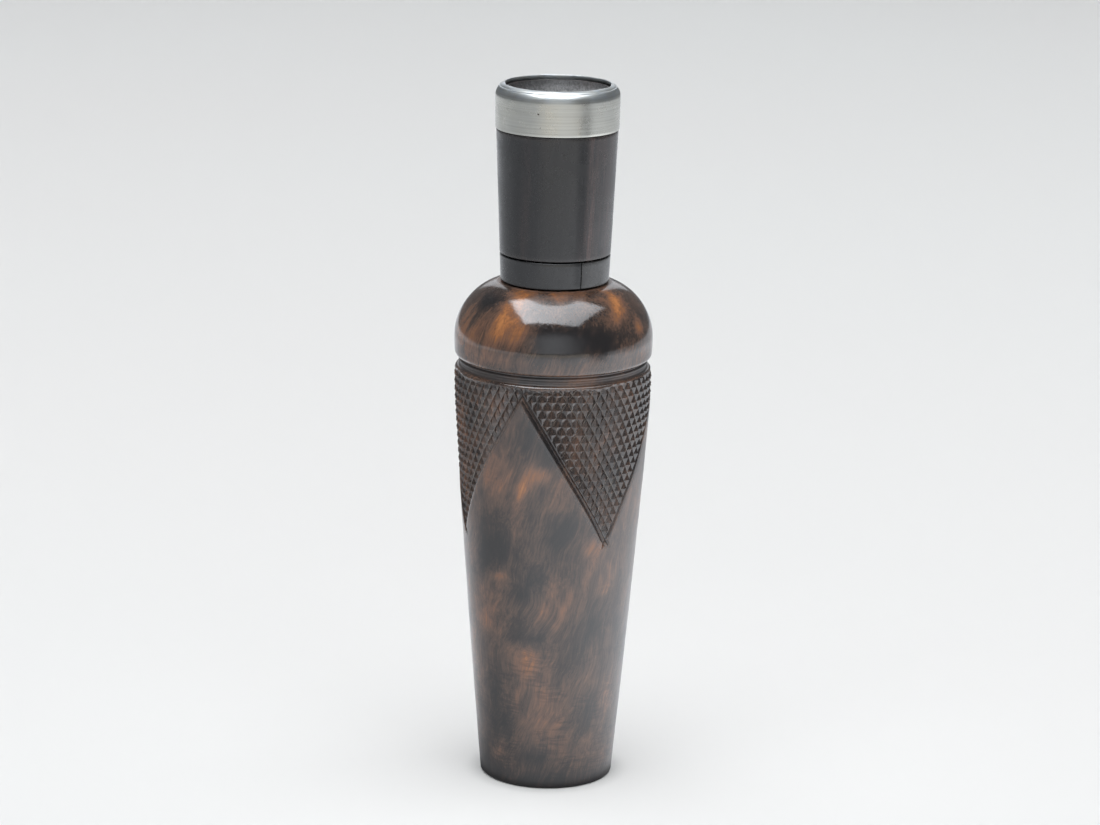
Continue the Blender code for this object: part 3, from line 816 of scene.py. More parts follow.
@dataclass
class Barrel:
    """The turned burl barrel: foot, straight taper, shoulder, lanyard groove, dome, and the bore inside.

    crisp is the angle in degrees past which its edges are shaded sharp.
    """

    foot_radius: float = 12.47 * MM
    foot_round: float = 0.55 * MM
    belly: float = 0.16 * MM
    taper_top_z: float = 70.0 * MM
    taper_top_radius: float = 18.07 * MM
    shoulder_z: float = 78.0 * MM
    groove_radius: float = 17.3 * MM
    groove_low_z: float = 79.3 * MM
    groove_high_z: float = 81.05 * MM
    dome_radius: float = 18.46 * MM
    dome_widest_z: float = 84.5 * MM
    dome_axis_radius: float = 7.9 * MM
    dome_rise: float = 11.0 * MM
    mouth_radius: float = 10.45 * MM
    socket_mouth_radius: float = 9.17 * MM
    socket_floor_radius: float = 8.87 * MM
    socket_floor_z: float = 74.0 * MM
    bore_radius: float = 8.03 * MM
    flare_radius: float = 9.35 * MM
    flare_depth: float = 3.0 * MM
    columns_per_diamond: int = 8
    crisp: float = 24.0
    bore_polish: float = 0.1
    checkering: Checkering = field(default_factory=Checkering)
    patches: tuple[FigurePatch, ...] = (
        FigurePatch(-32.0, 90.7, 2.8, 3.8, 1.0, 0.25),
        FigurePatch(-18.0, 88.6, 3.0, 2.6, 0.70, -0.4),
        FigurePatch(-27.0, 94.4, 2.6, 1.3, 0.75, -0.3),
        FigurePatch(5.0, 94.8, 2.6, 1.1, 0.55, 0.0),
        FigurePatch(50.0, 92.8, 2.1, 2.5, 0.95, 0.5),
        FigurePatch(62.0, 88.4, 1.6, 1.5, 0.65, 0.3),
        FigurePatch(42.0, 90.3, 1.6, 1.2, 0.30, 0.2),
        FigurePatch(-63.0, 87.4, 3.6, 3.0, 0.50, 0.0),
        FigurePatch(-34.0, 83.4, 4.0, 1.4, 0.30, 0.0),
        FigurePatch(0.0, 87.4, 6.0, 2.4, -0.85, 0.0),
        FigurePatch(27.0, 87.3, 5.0, 2.4, -0.70, 0.0),
        FigurePatch(-55.0, 93.2, 3.0, 1.6, -0.60, 0.0),
        FigurePatch(15.0, 80.2, 4.0, 0.9, 0.55, 0.0),
        FigurePatch(-70.0, 70.0, 4.0, 8.0, 0.35, 0.0),
        FigurePatch(-18.0, 59.5, 1.5, 3.4, 0.85, 0.35),
        FigurePatch(-8.0, 62.5, 2.6, 1.4, 0.55, -0.2),
        FigurePatch(-36.0, 62.0, 4.0, 5.0, 0.32, 0.2),
        FigurePatch(-16.0, 70.5, 2.2, 4.0, -0.45, 0.1),
        FigurePatch(-2.0, 66.5, 2.0, 4.0, -0.40, -0.3),
        FigurePatch(-39.0, 47.0, 5.0, 4.2, -0.75, 0.2),
        FigurePatch(10.0, 50.5, 4.6, 4.6, -0.40, 0.3),
        FigurePatch(30.0, 48.0, 2.6, 2.0, 0.50, 0.0),
        FigurePatch(27.0, 44.0, 1.4, 3.5, 0.30, 0.4),
        FigurePatch(-41.0, 41.0, 1.6, 1.8, 0.85, 1.6),
        FigurePatch(-13.0, 41.0, 2.2, 3.0, -0.65, 0.5),
        FigurePatch(-42.0, 35.5, 3.6, 3.6, 0.40, 0.0),
        FigurePatch(-3.0, 36.5, 1.3, 4.2, 0.45, 0.5),
        FigurePatch(8.0, 35.5, 1.2, 4.5, 0.40, 0.5),
        FigurePatch(40.0, 38.0, 1.4, 4.0, 0.32, 0.4),
        FigurePatch(33.0, 33.0, 1.8, 4.0, -0.50, 0.4),
        FigurePatch(-17.0, 31.2, 4.4, 1.8, -0.70, -0.6),
        FigurePatch(-14.0, 25.6, 2.5, 2.8, 0.80, -0.1),
        FigurePatch(-33.0, 27.5, 3.2, 5.0, 0.42, -0.3),
        FigurePatch(17.0, 24.0, 1.7, 5.0, -0.45, 0.4),
        FigurePatch(-46.0, 20.0, 2.0, 5.5, -0.50, 0.1),
        FigurePatch(3.0, 18.3, 7.0, 6.0, 0.34, 0.2),
        FigurePatch(34.0, 15.0, 1.3, 5.5, -0.65, 0.35),
        FigurePatch(51.0, 15.5, 2.4, 5.5, 0.34, 0.3),
        FigurePatch(-37.0, 11.5, 2.4, 3.4, -0.60, 0.2),
        FigurePatch(-39.0, 8.2, 0.9, 1.8, 0.80, 0.2),
        FigurePatch(-10.0, 6.6, 4.0, 1.4, -0.60, 0.0),
        FigurePatch(8.0, 7.6, 4.0, 1.6, 0.32, 0.0),
    )
    back_patches: int = 44
    seed: int = 3

    def outline(self) -> np.ndarray:
        """The closed profile: up the outside, over the dome, down the socket and the bore."""
        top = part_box("barrel")[1].z - 0.02 * MM
        foot_slope = (self.taper_top_radius - self.foot_radius) / (self.taper_top_z - self.foot_round)
        length = self.shoulder_z - self.taper_top_z
        bottom, pitch = self.checkering.bottom_z, self.checkering.pitch_z / self.columns_per_diamond
        heights = np.concatenate([
            np.linspace(self.foot_round, bottom, 16)[1:],
            np.arange(bottom + pitch, self.shoulder_z, pitch),
        ])
        share = np.clip((heights - self.foot_round) / (self.taper_top_z - self.foot_round), 0.0, 1.0)
        rise = np.clip(heights - self.taper_top_z, 0.0, None)
        radius = (self.foot_radius + foot_slope * (share * (self.taper_top_z - self.foot_round))
                  + 4.0 * self.belly * share * (1.0 - share)
                  + foot_slope * (rise - rise * rise / (2.0 * length)))
        shape = Outline(self.flare_radius + 0.3 * MM, 0.0)
        shape.line(self.foot_radius - self.foot_round, 0.0, 3)
        corner = self.foot_round
        shape.arc((self.foot_radius - corner, corner), (corner, corner), -90, 0, 6)
        shape.runs.append(np.stack([radius, heights], axis=1))
        rounding = (0.62 * MM, 0.85 * (self.groove_low_z - self.shoulder_z))
        shape.arc((radius[-1] - rounding[0], self.shoulder_z + 0.1 * MM), rounding, 4, 72, 10)
        low, high, floor = self.groove_low_z, self.groove_high_z, self.groove_radius
        shape.arc((floor + 0.42 * MM, low + 0.45 * MM), (0.40 * MM, 0.52 * MM), 285, 118, 12)
        shape.line(floor + 0.27 * MM, high - 0.62 * MM, 1).line(floor + 0.20 * MM, high - 0.46 * MM, 1)
        shape.line(floor - 0.03 * MM, high - 0.28 * MM, 2).line(floor, high - 0.08 * MM, 1)
        shape.arc((floor + 0.08 * MM, high + 1.2 * MM), (0.98 * MM, 1.22 * MM), -86, -12, 12)
        shape.line(self.dome_radius - 0.03 * MM, self.dome_widest_z - 1.1 * MM, 3)
        shape.line(self.dome_radius, self.dome_widest_z, 2)
        span = self.dome_radius - self.dome_axis_radius
        end = math.degrees(math.acos((self.mouth_radius - self.dome_axis_radius) / span))
        shape.arc((self.dome_axis_radius, self.dome_widest_z), (span, self.dome_rise), 0, end, 26)
        shape.line(self.socket_mouth_radius + 0.3 * MM, top, 3)
        shape.arc((self.socket_mouth_radius + 0.3 * MM, top - 0.3 * MM), (0.3 * MM, 0.3 * MM), 90, 180, 4)
        shape.line(self.socket_floor_radius, self.socket_floor_z, 4)
        shape.line(self.bore_radius + 0.15 * MM, self.socket_floor_z, 1)
        shape.line(self.bore_radius, self.socket_floor_z - 0.15 * MM, 1)
        shape.line(self.bore_radius, self.flare_depth, 6)
        flare = (self.flare_radius - self.bore_radius, self.flare_depth)
        shape.arc((self.flare_radius, self.flare_depth), flare, 180, 262, 7)
        return shape.points()

    def figure(self, azimuth: np.ndarray, radius: np.ndarray, z: np.ndarray) -> np.ndarray:
        """How light the burl's figure is over the whole barrel: 0 dark, 0.5 plain, 1 lit.

        Formula: half of 1 plus the lit share less the dark share, each share being one less the
        product of (1 - glow) over its patches, dark ones having a negative strength. A dark ring
        runs round the foot. The patches on the far side are drawn from the seed.

        Args:
            azimuth: Azimuths, in degrees.
            radius: Radii, in metres.
            z: Heights, in metres.

        Returns:
            The figure at each point.
        """
        rng = np.random.default_rng(self.seed)
        far = [FigurePatch(rng.uniform(75.0, 285.0), rng.uniform(4.0, 94.0), rng.uniform(1.4, 4.5),
                           rng.uniform(1.8, 5.5), rng.choice([-0.6, 0.35, 0.5, 0.85]), rng.uniform(-0.2, 0.5))
               for _ in range(self.back_patches)]
        plain, clear = np.ones(radius.shape), 1.0 - 0.55 * np.exp(-(z / (3.5 * MM)) ** 2)
        for patch in (*self.patches, *far):
            glow = patch.glow(azimuth, radius, z)
            plain *= 1.0 - np.clip(glow, 0.0, 1.0)
            clear *= 1.0 - np.clip(-glow, 0.0, 1.0)
        return 0.5 + 0.5 * (clear - plain)

    def build(self, finish: bpy.types.Material) -> bpy.types.Object:
        """Turn the barrel, cut its checkering and dress it.

        Formula: the outline's radius, plus a faint unevenness of the polished outside, less
        the depth of the checkering. The grid is then moved so that its lines follow the
        grooves, and each quad there is split along the diagonal that fits the cut better.

        Args:
            finish: The burl.

        Returns:
            The barrel.
        """
        profile = self.outline()
        theta, radius, z = turn_grid(profile, self.checkering.around * self.columns_per_diamond)
        outer = (radius > self.mouth_radius + 0.2 * MM) & (z > self.foot_round)
        wave = 0.010 * MM * ripple(theta, z, 9.0 * MM, 21) + 0.0035 * MM * ripple(theta, z, 3.5 * MM, 22)
        cut_zone = outer & (z < self.shoulder_z + 1.0 * MM)
        depth = np.where(cut_zone, self.checkering.cut(theta, z), 0.0)
        middle = self.checkering.cut(theta + math.pi / theta.shape[1], (z + np.roll(z, -1, axis=0)) / 2.0)
        right, up = np.roll(depth, -1, axis=1), np.roll(depth, -1, axis=0)
        rising_split = np.abs((depth + np.roll(right, -1, axis=0)) / 2.0 - middle)
        falling_split = np.abs((right + up) / 2.0 - middle)
        turned = (falling_split < rising_split) & cut_zone
        radius = radius + np.where(outer, wave, 0.0) - depth
        theta, drifted = self.checkering.moved(theta, z)
        z = np.where(outer, drifted, z)
        piece = mesh_piece("barrel_burl", stack_polar(theta, radius, z), True, self.crisp, turned)
        paint(piece, "figure", self.figure(azimuth_of(theta), radius, z))
        # The cut value is painted shade in the cuts and the lanyard groove, with painted highlight flecks on
        # the crest.
        cut, polish = self.wear(theta, z, depth)
        paint(piece, "cut", np.where(outer, cut, 0.0))
        paint(piece, "polish", np.where(outer, polish, self.bore_polish))
        piece.data.materials.append(finish)
        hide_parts("barrel")
        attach(piece, "barrel_body")
        return piece

    def wear(self, theta: np.ndarray, z: np.ndarray, depth: np.ndarray) -> tuple[np.ndarray, np.ndarray]:
        """How much painted shade and painted highlight the outside carries, and how polished it is.

        Formula: the painted shade is the cuts' depth as a share of the deepest, most of the way in
        the lanyard groove, and full in pale flecks on the shoulder's crest in front, which are
        painted highlights. Polish is low on the body, a little higher in the cuts, full on the
        dome above its widest, higher along the crest and low again in the groove.

        Args:
            theta: Angles about the axis, in radians.
            z: Heights, in metres.
            depth: The depth of the checkering, in metres.

        Returns:
            The painted shade with the highlight flecks, 0 to about 1, and the polish, 0 to 1.
        """
        azimuth = azimuth_of(theta)
        low, high, crest = self.groove_low_z, self.groove_high_z, self.shoulder_z + 0.75 * MM
        in_groove = smoothstep(low - 0.15 * MM, low + 0.1 * MM, z)
        in_groove = in_groove * (1.0 - smoothstep(high - 0.15 * MM, high + 0.25 * MM, z))
        # Painted highlights: pale flecks along the shoulder's crest, in front and a little to the left.
        flecks = np.exp(-((z - crest - 0.15 * MM) / (0.35 * MM)) ** 2)
        flecks = flecks * smoothstep(0.35, 0.9, ripple(theta, z, 1.5 * MM, 24))
        flecks = flecks * np.exp(-((azimuth + 12.0) / 16.0) ** 2)
        on_crest = np.exp(-((z - crest) / (0.4 * MM)) ** 2)
        on_crest = on_crest * np.clip(0.7 - 0.02 * np.abs(azimuth + 14.0), 0.15, 0.7)
        on_dome = smoothstep(self.shoulder_z - 1.0 * MM, high, z)
        top, low_dome = self.dome_widest_z + 2.0 * MM, self.dome_widest_z - 1.0 * MM
        on_dome = on_dome * (1.0 - 0.35 * (1.0 - smoothstep(low_dome, top, z)))
        in_cut = (depth > 0.02 * MM) * (1.0 - on_dome)
        polish = 0.38 + 0.62 * on_dome + 0.35 * in_cut - 0.6 * in_groove + on_crest
        # Painted shade in the cuts and the lanyard groove, and full in the painted highlight flecks.
        shade_and_flecks = np.maximum.reduce([depth / self.checkering.depth, 0.62 * in_groove, flecks])
        return shade_and_flecks, np.clip(polish, 0.0, 1.0)


# The stem and its band


@dataclass
class Stem:
    """The turned stem: a socket for the spigot below, a flared exhaust above, and the metal band."""

    foot_radius: float = 10.26 * MM
    top_radius: float = 11.2 * MM
    corner: float = 0.14 * MM
    socket_radius: float = 8.0 * MM
    throat_radius: float = 5.62 * MM
    exhaust_radius: float = 9.42 * MM
    neck_radius: float = 10.5 * MM
    band_radius: float = 11.38 * MM
    band_top_radius: float = 11.44 * MM
    band_inner_radius: float = 10.78 * MM
    band_round: float = 2.2 * MM
    band_wall: float = 0.42 * MM
    lip_radius: float = 9.62 * MM
    lip_end: float = 80.0
    lip_unevenness: float = 0.16 * MM
    columns: int = 256
    heart_streaks: tuple[tuple[float, float, float], ...] = (
        (36.0, 7.0, 1.0),
        (52.0, 5.0, 0.55),
        (66.0, 6.0, 0.75),
        (-32.0, 5.0, 0.22),
        (140.0, 12.0, 0.6),
        (-128.0, 9.0, 0.5),
    )

    def outline(self) -> np.ndarray:
        """The stem's closed profile: up the outside, over the neck, and down through the exhaust."""
        low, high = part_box("stem")
        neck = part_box("stem_band")[0].z - 0.12 * MM
        socket_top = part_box("tone_board")[1].z + 0.3 * MM
        corner = self.corner
        shape = Outline(self.socket_radius + corner, low.z)
        shape.line(self.foot_radius - corner, low.z, 3)
        shape.arc((self.foot_radius - corner, low.z + corner), (corner, corner), -90, 0, 4)
        shape.line(self.top_radius, neck - corner, 40)
        shape.arc((self.top_radius - corner, neck - corner), (corner, corner), 0, 90, 3)
        shape.line(self.neck_radius, neck, 2)
        shape.line(self.neck_radius, high.z - corner, 4)
        shape.line(self.exhaust_radius + corner, high.z - corner / 2, 2)
        shape.line(self.exhaust_radius, high.z - corner, 1)
        shape.line(self.throat_radius, socket_top + 0.3 * MM, 26)
        shape.line(self.throat_radius, socket_top, 1)
        shape.line(self.socket_radius, socket_top, 2)
        shape.line(self.socket_radius, low.z + corner, 12)
        return shape.points()

    def band_outline(self) -> np.ndarray:
        """The band's closed profile: up its side, over the rolled lip, and back inside."""
        low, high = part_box("stem_band")
        start, lip, end = high.z - self.band_round, self.lip_radius + 0.12 * MM, math.radians(self.lip_end)
        across, rise = (self.band_top_radius - lip) / (1.0 - math.cos(end)), self.band_round / math.sin(end)
        shape = Outline(self.band_inner_radius, low.z + 0.05 * MM)
        shape.line(self.band_radius - 0.12 * MM, low.z, 2)
        shape.arc((self.band_radius - 0.12 * MM, low.z + 0.12 * MM), (0.12 * MM, 0.12 * MM), -90, 0, 3)
        shape.line(self.band_top_radius, start, 14)
        shape.arc((self.band_top_radius - across, start), (across, rise), 0, self.lip_end, 20)
        shape.arc((lip, high.z - 0.15 * MM), (0.12 * MM, 0.15 * MM), 90, 180, 4)
        shape.line(self.lip_radius, high.z - self.band_wall, 1)
        shape.line(self.band_inner_radius, high.z - self.band_wall, 3)
        return shape.points()

    def streaks(self, azimuth: np.ndarray) -> np.ndarray:
        """Where the reddish heartwood shows, from its azimuths, widths and strengths."""
        total = np.zeros(azimuth.shape)
        for middle, width, strength in self.heart_streaks:
            away = (azimuth - middle + 180.0) % 360.0 - 180.0
            total += strength * np.exp(-(away / width) ** 2)
        return np.clip(total, 0.0, 1.0)

    def build_stem(self, finish: bpy.types.Material) -> bpy.types.Object:
        """Turn the stem and dress it, and return it."""
        profile = self.outline()
        theta, radius, z = turn_grid(profile, self.columns)
        radius = radius + 0.006 * MM * ripple(theta, z, 12.0 * MM, 31)
        piece = mesh_piece("stem_wood", stack_polar(theta, radius, z), closed_rows=True)
        azimuth = azimuth_of(theta)
        paint(piece, "streak", self.streaks(azimuth + 4.0 * ripple(theta, z, 40.0 * MM, 32)))
        paint(piece, "edge", np.repeat(edge_wear(profile, 0.5 * MM)[:, None], self.columns, axis=1))
        bare = (radius < self.exhaust_radius + 0.05 * MM) & (z > z.min() + 6.0 * MM)
        # Painted light and shade inside the exhaust: lighter towards the right (+X), darker just under the
        # rim.
        lit = 0.40 + 0.60 * smoothstep(-7.5 * MM, 1.5 * MM, radius * np.cos(theta))
        paint(piece, "inside", bare * lit * (0.30 + 0.70 * smoothstep(0.3 * MM, 1.8 * MM, z.max() - z)))
        piece.data.materials.append(finish)
        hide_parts("stem")
        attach(piece, "stem_body")
        return piece

    def build_band(self, finish: bpy.types.Material) -> bpy.types.Object:
        """Turn the band and dress it.

        Formula: the outline's radius, with the lip's inner edge moved outwards by a sharpened
        unevenness, so that it is wavy and a little nicked.

        Args:
            finish: The white metal.

        Returns:
            The band.
        """
        profile = self.band_outline()
        theta, radius, z = turn_grid(profile, self.columns)
        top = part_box("stem_band")[1].z
        near_lip = np.exp(-(((radius - self.lip_radius) / (0.35 * MM)) ** 2)) * (z > top - 0.8 * MM)
        wavy = 0.5 * ripple(theta, z * 0.0, 6.0 * MM, 41) + 0.5 * np.abs(ripple(theta, z * 0.0, 2.2 * MM, 42))
        radius = radius + near_lip * self.lip_unevenness * np.clip(wavy + 0.3, -0.4, 1.6)
        side = radius > self.band_radius - 0.3 * MM
        radius = radius + np.where(side, 0.006 * MM * ripple(theta, z, 7.0 * MM, 43), 0.0)
        piece = mesh_piece("stem_band_metal", stack_polar(theta, radius, z), closed_rows=True)
        round_start = top - self.band_round
        paint(piece, "lip", smoothstep(round_start - 0.2 * MM, round_start + 1.0 * MM, z))
        piece.data.materials.append(finish)
        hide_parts("stem_band")
        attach(piece, "stem_body")
        return piece


# The reed and the two halves that hold it


class Side(Enum):
    """Which side of the split a half lies on."""

    BOARD = -1
    BLOCK = 1


@dataclass
class ReedInsert:
    """The split insert: tone board and reed block, the reed between them, and two pins."""

    split_gap: float = 0.2 * MM
    corner: float = 0.15 * MM
    plug_foot_z: float = 76.0 * MM
    plug_foot_radius: float = 8.69 * MM
    plug_top_radius: float = 8.94 * MM
    collar_low_radius: float = 10.05 * MM
    collar_high_radius: float = 10.24 * MM
    collar_length: float = 4.9 * MM
    spigot_radius: float = 7.75 * MM
    board_radius: float = 7.4 * MM
    board_taper_z: float = 57.0 * MM
    board_tip_radius: float = 5.4 * MM
    channel_end_z: float = 49.5 * MM
    channel_tip_radius: float = 3.0 * MM
    channel_top_radius: float = 4.9 * MM
    block_channel_z: float = 99.2 * MM
    slot_half_width: float = 5.6 * MM
    slot_depth: float = 0.35 * MM
    slot_top_z: float = 97.3 * MM
    reed_thickness: float = 0.26 * MM
    reed_half_width: float = 5.2 * MM
    reed_tip_half_width: float = 4.2 * MM
    reed_lift: float = 1.20 * MM
    reed_corner: float = 2.2 * MM
    pin_radius: float = 0.8 * MM
    pin_clearance: float = 0.05 * MM

    def turn(self, local: np.ndarray) -> np.ndarray:
        """Turn points from the split's own frame, where the reed's width is X, into the call's frame."""
        across = Vector(next(j for j in frame["joints"] if j["name"] == "reed_flex")["axis"]).normalized()
        matrix = np.array([[across.x, -across.y, 0.0], [across.y, across.x, 0.0], [0.0, 0.0, 1.0]])
        return local @ matrix.T

    def outline(self, side: Side) -> np.ndarray:
        """The half's outside from its lower end up, as (radius, z), with small rounds at its corners."""
        low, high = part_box("tone_board" if side is Side.BOARD else "reed_block")
        collar_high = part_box("stem")[0].z - 0.3 * MM
        collar_low = collar_high - self.collar_length
        corner = self.corner
        if side is Side.BOARD:
            shape = Outline(self.board_tip_radius - 0.8 * MM, low.z)
            shape.arc((self.board_tip_radius - 0.8 * MM, low.z + 0.8 * MM), (0.8 * MM, 0.8 * MM), -80, -5, 5)
            shape.line(self.board_radius, self.board_taper_z, 12)
            shape.line(self.board_radius, self.plug_foot_z - corner, 18)
        else:
            shape = Outline(self.plug_foot_radius - 1.4 * corner, self.plug_foot_z)
        shape.line(self.plug_foot_radius - corner, self.plug_foot_z, 2)
        shape.line(self.plug_foot_radius, self.plug_foot_z + corner, 1)
        shape.line(self.plug_top_radius, collar_low - corner, 20)
        shape.line(self.collar_low_radius - corner, collar_low, 1)
        shape.arc((self.collar_low_radius - corner, collar_low + corner), (corner, corner), -80, 0, 4)
        shape.line(self.collar_high_radius, collar_high - corner, 8)
        shape.arc((self.collar_high_radius - corner, collar_high - corner), (corner, corner), 0, 80, 4)
        shape.line(self.spigot_radius, collar_high + 0.01 * MM, 1)
        shape.line(self.spigot_radius, high.z - 2 * corner, 14)
        shape.line(self.spigot_radius - 2 * corner, high.z, 2)
        return shape.points()

    def notch(self, side: Side, z: np.ndarray) -> tuple[np.ndarray, np.ndarray, np.ndarray]:
        """The recess cut into a half's flat face at each height.

        Formula: the channel's radius grows from its round end as sqrt(r^2 - (r - rise)^2),
        where rise is the height above that end, and then straight up to the spigot's top. In
        the block, the reed's slot is a wide, shallow, almost square recess below its channel.

        Args:
            side: The tone board or the block.
            z: Heights, in metres.

        Returns:
            The recess's half width, depth and squareness (2 is round, higher is squarer).
        """
        start = self.channel_end_z if side is Side.BOARD else self.block_channel_z
        end_radius = self.channel_tip_radius if side is Side.BOARD else self.channel_top_radius
        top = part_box("tone_board")[1].z
        rise = np.clip(z - start, 0.0, end_radius)
        round_end = np.sqrt(np.clip(end_radius ** 2 - (end_radius - rise) ** 2, 0.0, None))
        above = np.clip((z - start - end_radius) / (top - start - end_radius), 0.0, 1.0)
        radius = round_end + (self.channel_top_radius - end_radius) * above
        width, depth = np.maximum(radius, 2.0 * MM), radius
        squareness = np.full(z.shape, 2.0)
        if side is Side.BLOCK:
            slotted = z < self.slot_top_z
            width = np.where(slotted, self.slot_half_width, width)
            depth = np.where(slotted, self.slot_depth, depth)
            squareness = np.where(slotted, 14.0, squareness)
        return width, depth, squareness

    def half_sections(self, side: Side, profile: np.ndarray) -> np.ndarray:
        """The half's surface: a half-round section, with its recess, carried along the axis.

        Formula: along the flat face y = gap from one edge to the recess, across the recess on
        x = w c |c|^(2/n - 1), y = gap + d s^(2/n) with c and s the cosine and sine of an angle
        that runs over half a turn, on to the other edge, and back round the outside circle.

        Args:
            side: The tone board or the block.
            profile: The outside, (rows, 2).

        Returns:
            The grid of points in the call's frame.
        """
        radius, z = profile[:, :1], profile[:, 1:2]
        width, depth, squareness = (value[:, None] for value in self.notch(side, profile[:, 1]))
        gap = self.split_gap / 2
        reach = np.sqrt(radius ** 2 - gap ** 2)
        width = np.minimum(width, reach - 0.35 * MM)
        share = np.linspace(0.0, 1.0, 5)[None, :-1]
        swing = np.linspace(0.0, math.pi, 25)[None, :]
        cos, sin = np.cos(swing), np.clip(np.sin(swing), 0.0, None)
        notch_x = width * np.sign(cos) * np.abs(cos) ** (2.0 / squareness)
        notch_y = gap + depth * sin ** (2.0 / squareness)
        flat_x = reach + (width - reach) * share
        edge = np.arcsin(gap / radius)
        sweep = math.pi - edge + (2.0 * edge - math.pi) * np.linspace(0.0, 1.0, 65)[None, :-1]
        other_flat_x = -(width + (reach - width) * np.linspace(0.0, 1.0, 5)[None, 1:-1])
        x = np.concatenate([flat_x, notch_x, other_flat_x, radius * np.cos(sweep)], axis=1)
        flat_y, other_flat_y = np.full(flat_x.shape, gap), np.full(other_flat_x.shape, gap)
        y = np.concatenate([flat_y, notch_y, other_flat_y, radius * np.sin(sweep)], axis=1)
        grid = np.stack([x, side.value * y, np.repeat(z, x.shape[1], axis=1)], axis=-1)
        if side is Side.BLOCK:
            grid = grid[:, ::-1]
        return self.turn(grid)

    def build_half(self, side: Side, finish: bpy.types.Material) -> bpy.types.Object:
        """Make the tone board or the reed block, drill it for its pins and dress it.

        Args:
            side: Which half.
            finish: The hard rubber.

        Returns:
            The half.
        """
        node = "tone_board" if side is Side.BOARD else "reed_block"
        profile = self.outline(side)
        piece = mesh_piece(f"{node}_rubber", self.half_sections(side, profile), closed_rows=False, sharp=30.0)
        paint(piece, "pale", np.full(len(piece.data.vertices), 1.0 if side is Side.BLOCK else 0.0))
        piece.data.materials.append(finish)
        for which in ("left", "right"):
            drill(piece, self.pin_grid(which, self.pin_clearance))
        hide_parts(node)
        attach(piece, "insert")
        return piece

    def pin_grid(self, which: str, extra: float = 0.0) -> np.ndarray:
        """A locating pin's surface: a bar with chamfered ends, lying across the split.

        Args:
            which: left or right.
            extra: Added to its radius and its ends, for the hole it sits in.

        Returns:
            The grid of points in the call's frame.
        """
        low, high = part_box(f"locating_pin_{which}")
        middle = (low + high) / 2
        across = self.turn(np.array([[0.0, 1.0, 0.0]]))[0]
        length = (high.x - low.x - 2 * self.pin_radius * abs(across[1])) / abs(across[0]) / 2 + extra
        radius, chamfer = self.pin_radius + extra, 0.2 * MM
        bar = Outline(radius - chamfer, -length).line(radius, -length + chamfer)
        bar.line(radius, length - chamfer, 8).line(radius - chamfer, length)
        theta, radii, along = turn_grid(bar.points(), 32)
        local = np.stack([radii * np.cos(theta), along, -radii * np.sin(theta)], axis=-1)
        return self.turn(local) + np.array(middle)

    def build_pin(self, which: str, finish: bpy.types.Material) -> bpy.types.Object:
        """Make one locating pin and dress it, and return it."""
        piece = mesh_piece(f"locating_pin_{which}_brass", self.pin_grid(which), closed_rows=False)
        piece.data.materials.append(finish)
        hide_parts(f"locating_pin_{which}")
        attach(piece, "insert")
        return piece

    def build_reed(self, finish: bpy.types.Material) -> bpy.types.Object:
        """Make the reed in one piece, flat where it is held and curving off the board below.

        Formula: a thin rounded section carried down the axis. Its half width narrows straight
        to the tip and closes there on two quarter circles, and its distance from the board
        grows with the free length to the power 1.6, to the tip's lift.

        Args:
            finish: The brass.

        Returns:
            The reed.
        """
        heel_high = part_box("reed_heel")[1]
        tip_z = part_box("reed_tongue")[0].z
        root_z = self.plug_foot_z
        corner, thin = self.reed_corner, self.reed_thickness / 2
        close = np.radians(np.linspace(90.0, 8.0, 10))
        z = np.concatenate([
            tip_z + corner * (1.0 - np.sin(close)),
            np.linspace(tip_z + corner, root_z, 44)[1:],
            np.linspace(root_z, heel_high.z, 20)[1:],
        ])
        free = np.clip((root_z - z) / (root_z - tip_z), 0.0, 1.0)
        width = self.reed_half_width + (self.reed_tip_half_width - self.reed_half_width) * free
        near_tip = np.clip((tip_z + corner - z) / corner, 0.0, 1.0)
        width = width - corner * (1.0 - np.sqrt(np.clip(1.0 - near_tip ** 2, 0.0, 1.0)))
        share = np.linspace(-1.0, 1.0, 17)
        x = np.concatenate([share, share[::-1]])
        y = np.repeat([-1.0, 1.0], share.size) * (1.0 - 0.5 * (np.abs(x) > 0.99))
        bend = self.reed_lift * free ** 1.6 + thin + 0.02 * MM
        grid = np.stack([width[:, None] * x[None, :], bend[:, None] + thin * y[None, :],
                         np.repeat(z[:, None], x.size, axis=1)], axis=-1)
        piece = mesh_piece("reed_brass", self.turn(grid), closed_rows=False, sharp=40.0)
        piece.data.materials.append(finish)
        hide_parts("reed_heel", "reed_tongue")
        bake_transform(piece)
        return piece


def drill(piece: bpy.types.Object, grid: np.ndarray) -> None:
    """Cut a capped grid's shape out of a piece and keep the result as its mesh.

    Args:
        piece: The piece to cut.
        grid: The cutter's points, as mesh_piece takes them.
    """
    cutter = mesh_piece("drill_bit", grid, closed_rows=False)
    step = piece.modifiers.new("hole", "BOOLEAN")
    step.operation = "DIFFERENCE"
    step.object = cutter
    bpy.context.view_layer.update()
    cut = bpy.data.meshes.new_from_object(piece.evaluated_get(bpy.context.evaluated_depsgraph_get()))
    piece.modifiers.clear()
    cut.name = piece.data.name
    piece.data = cut
    bpy.data.objects.remove(cutter, do_unlink=True)


# The studio


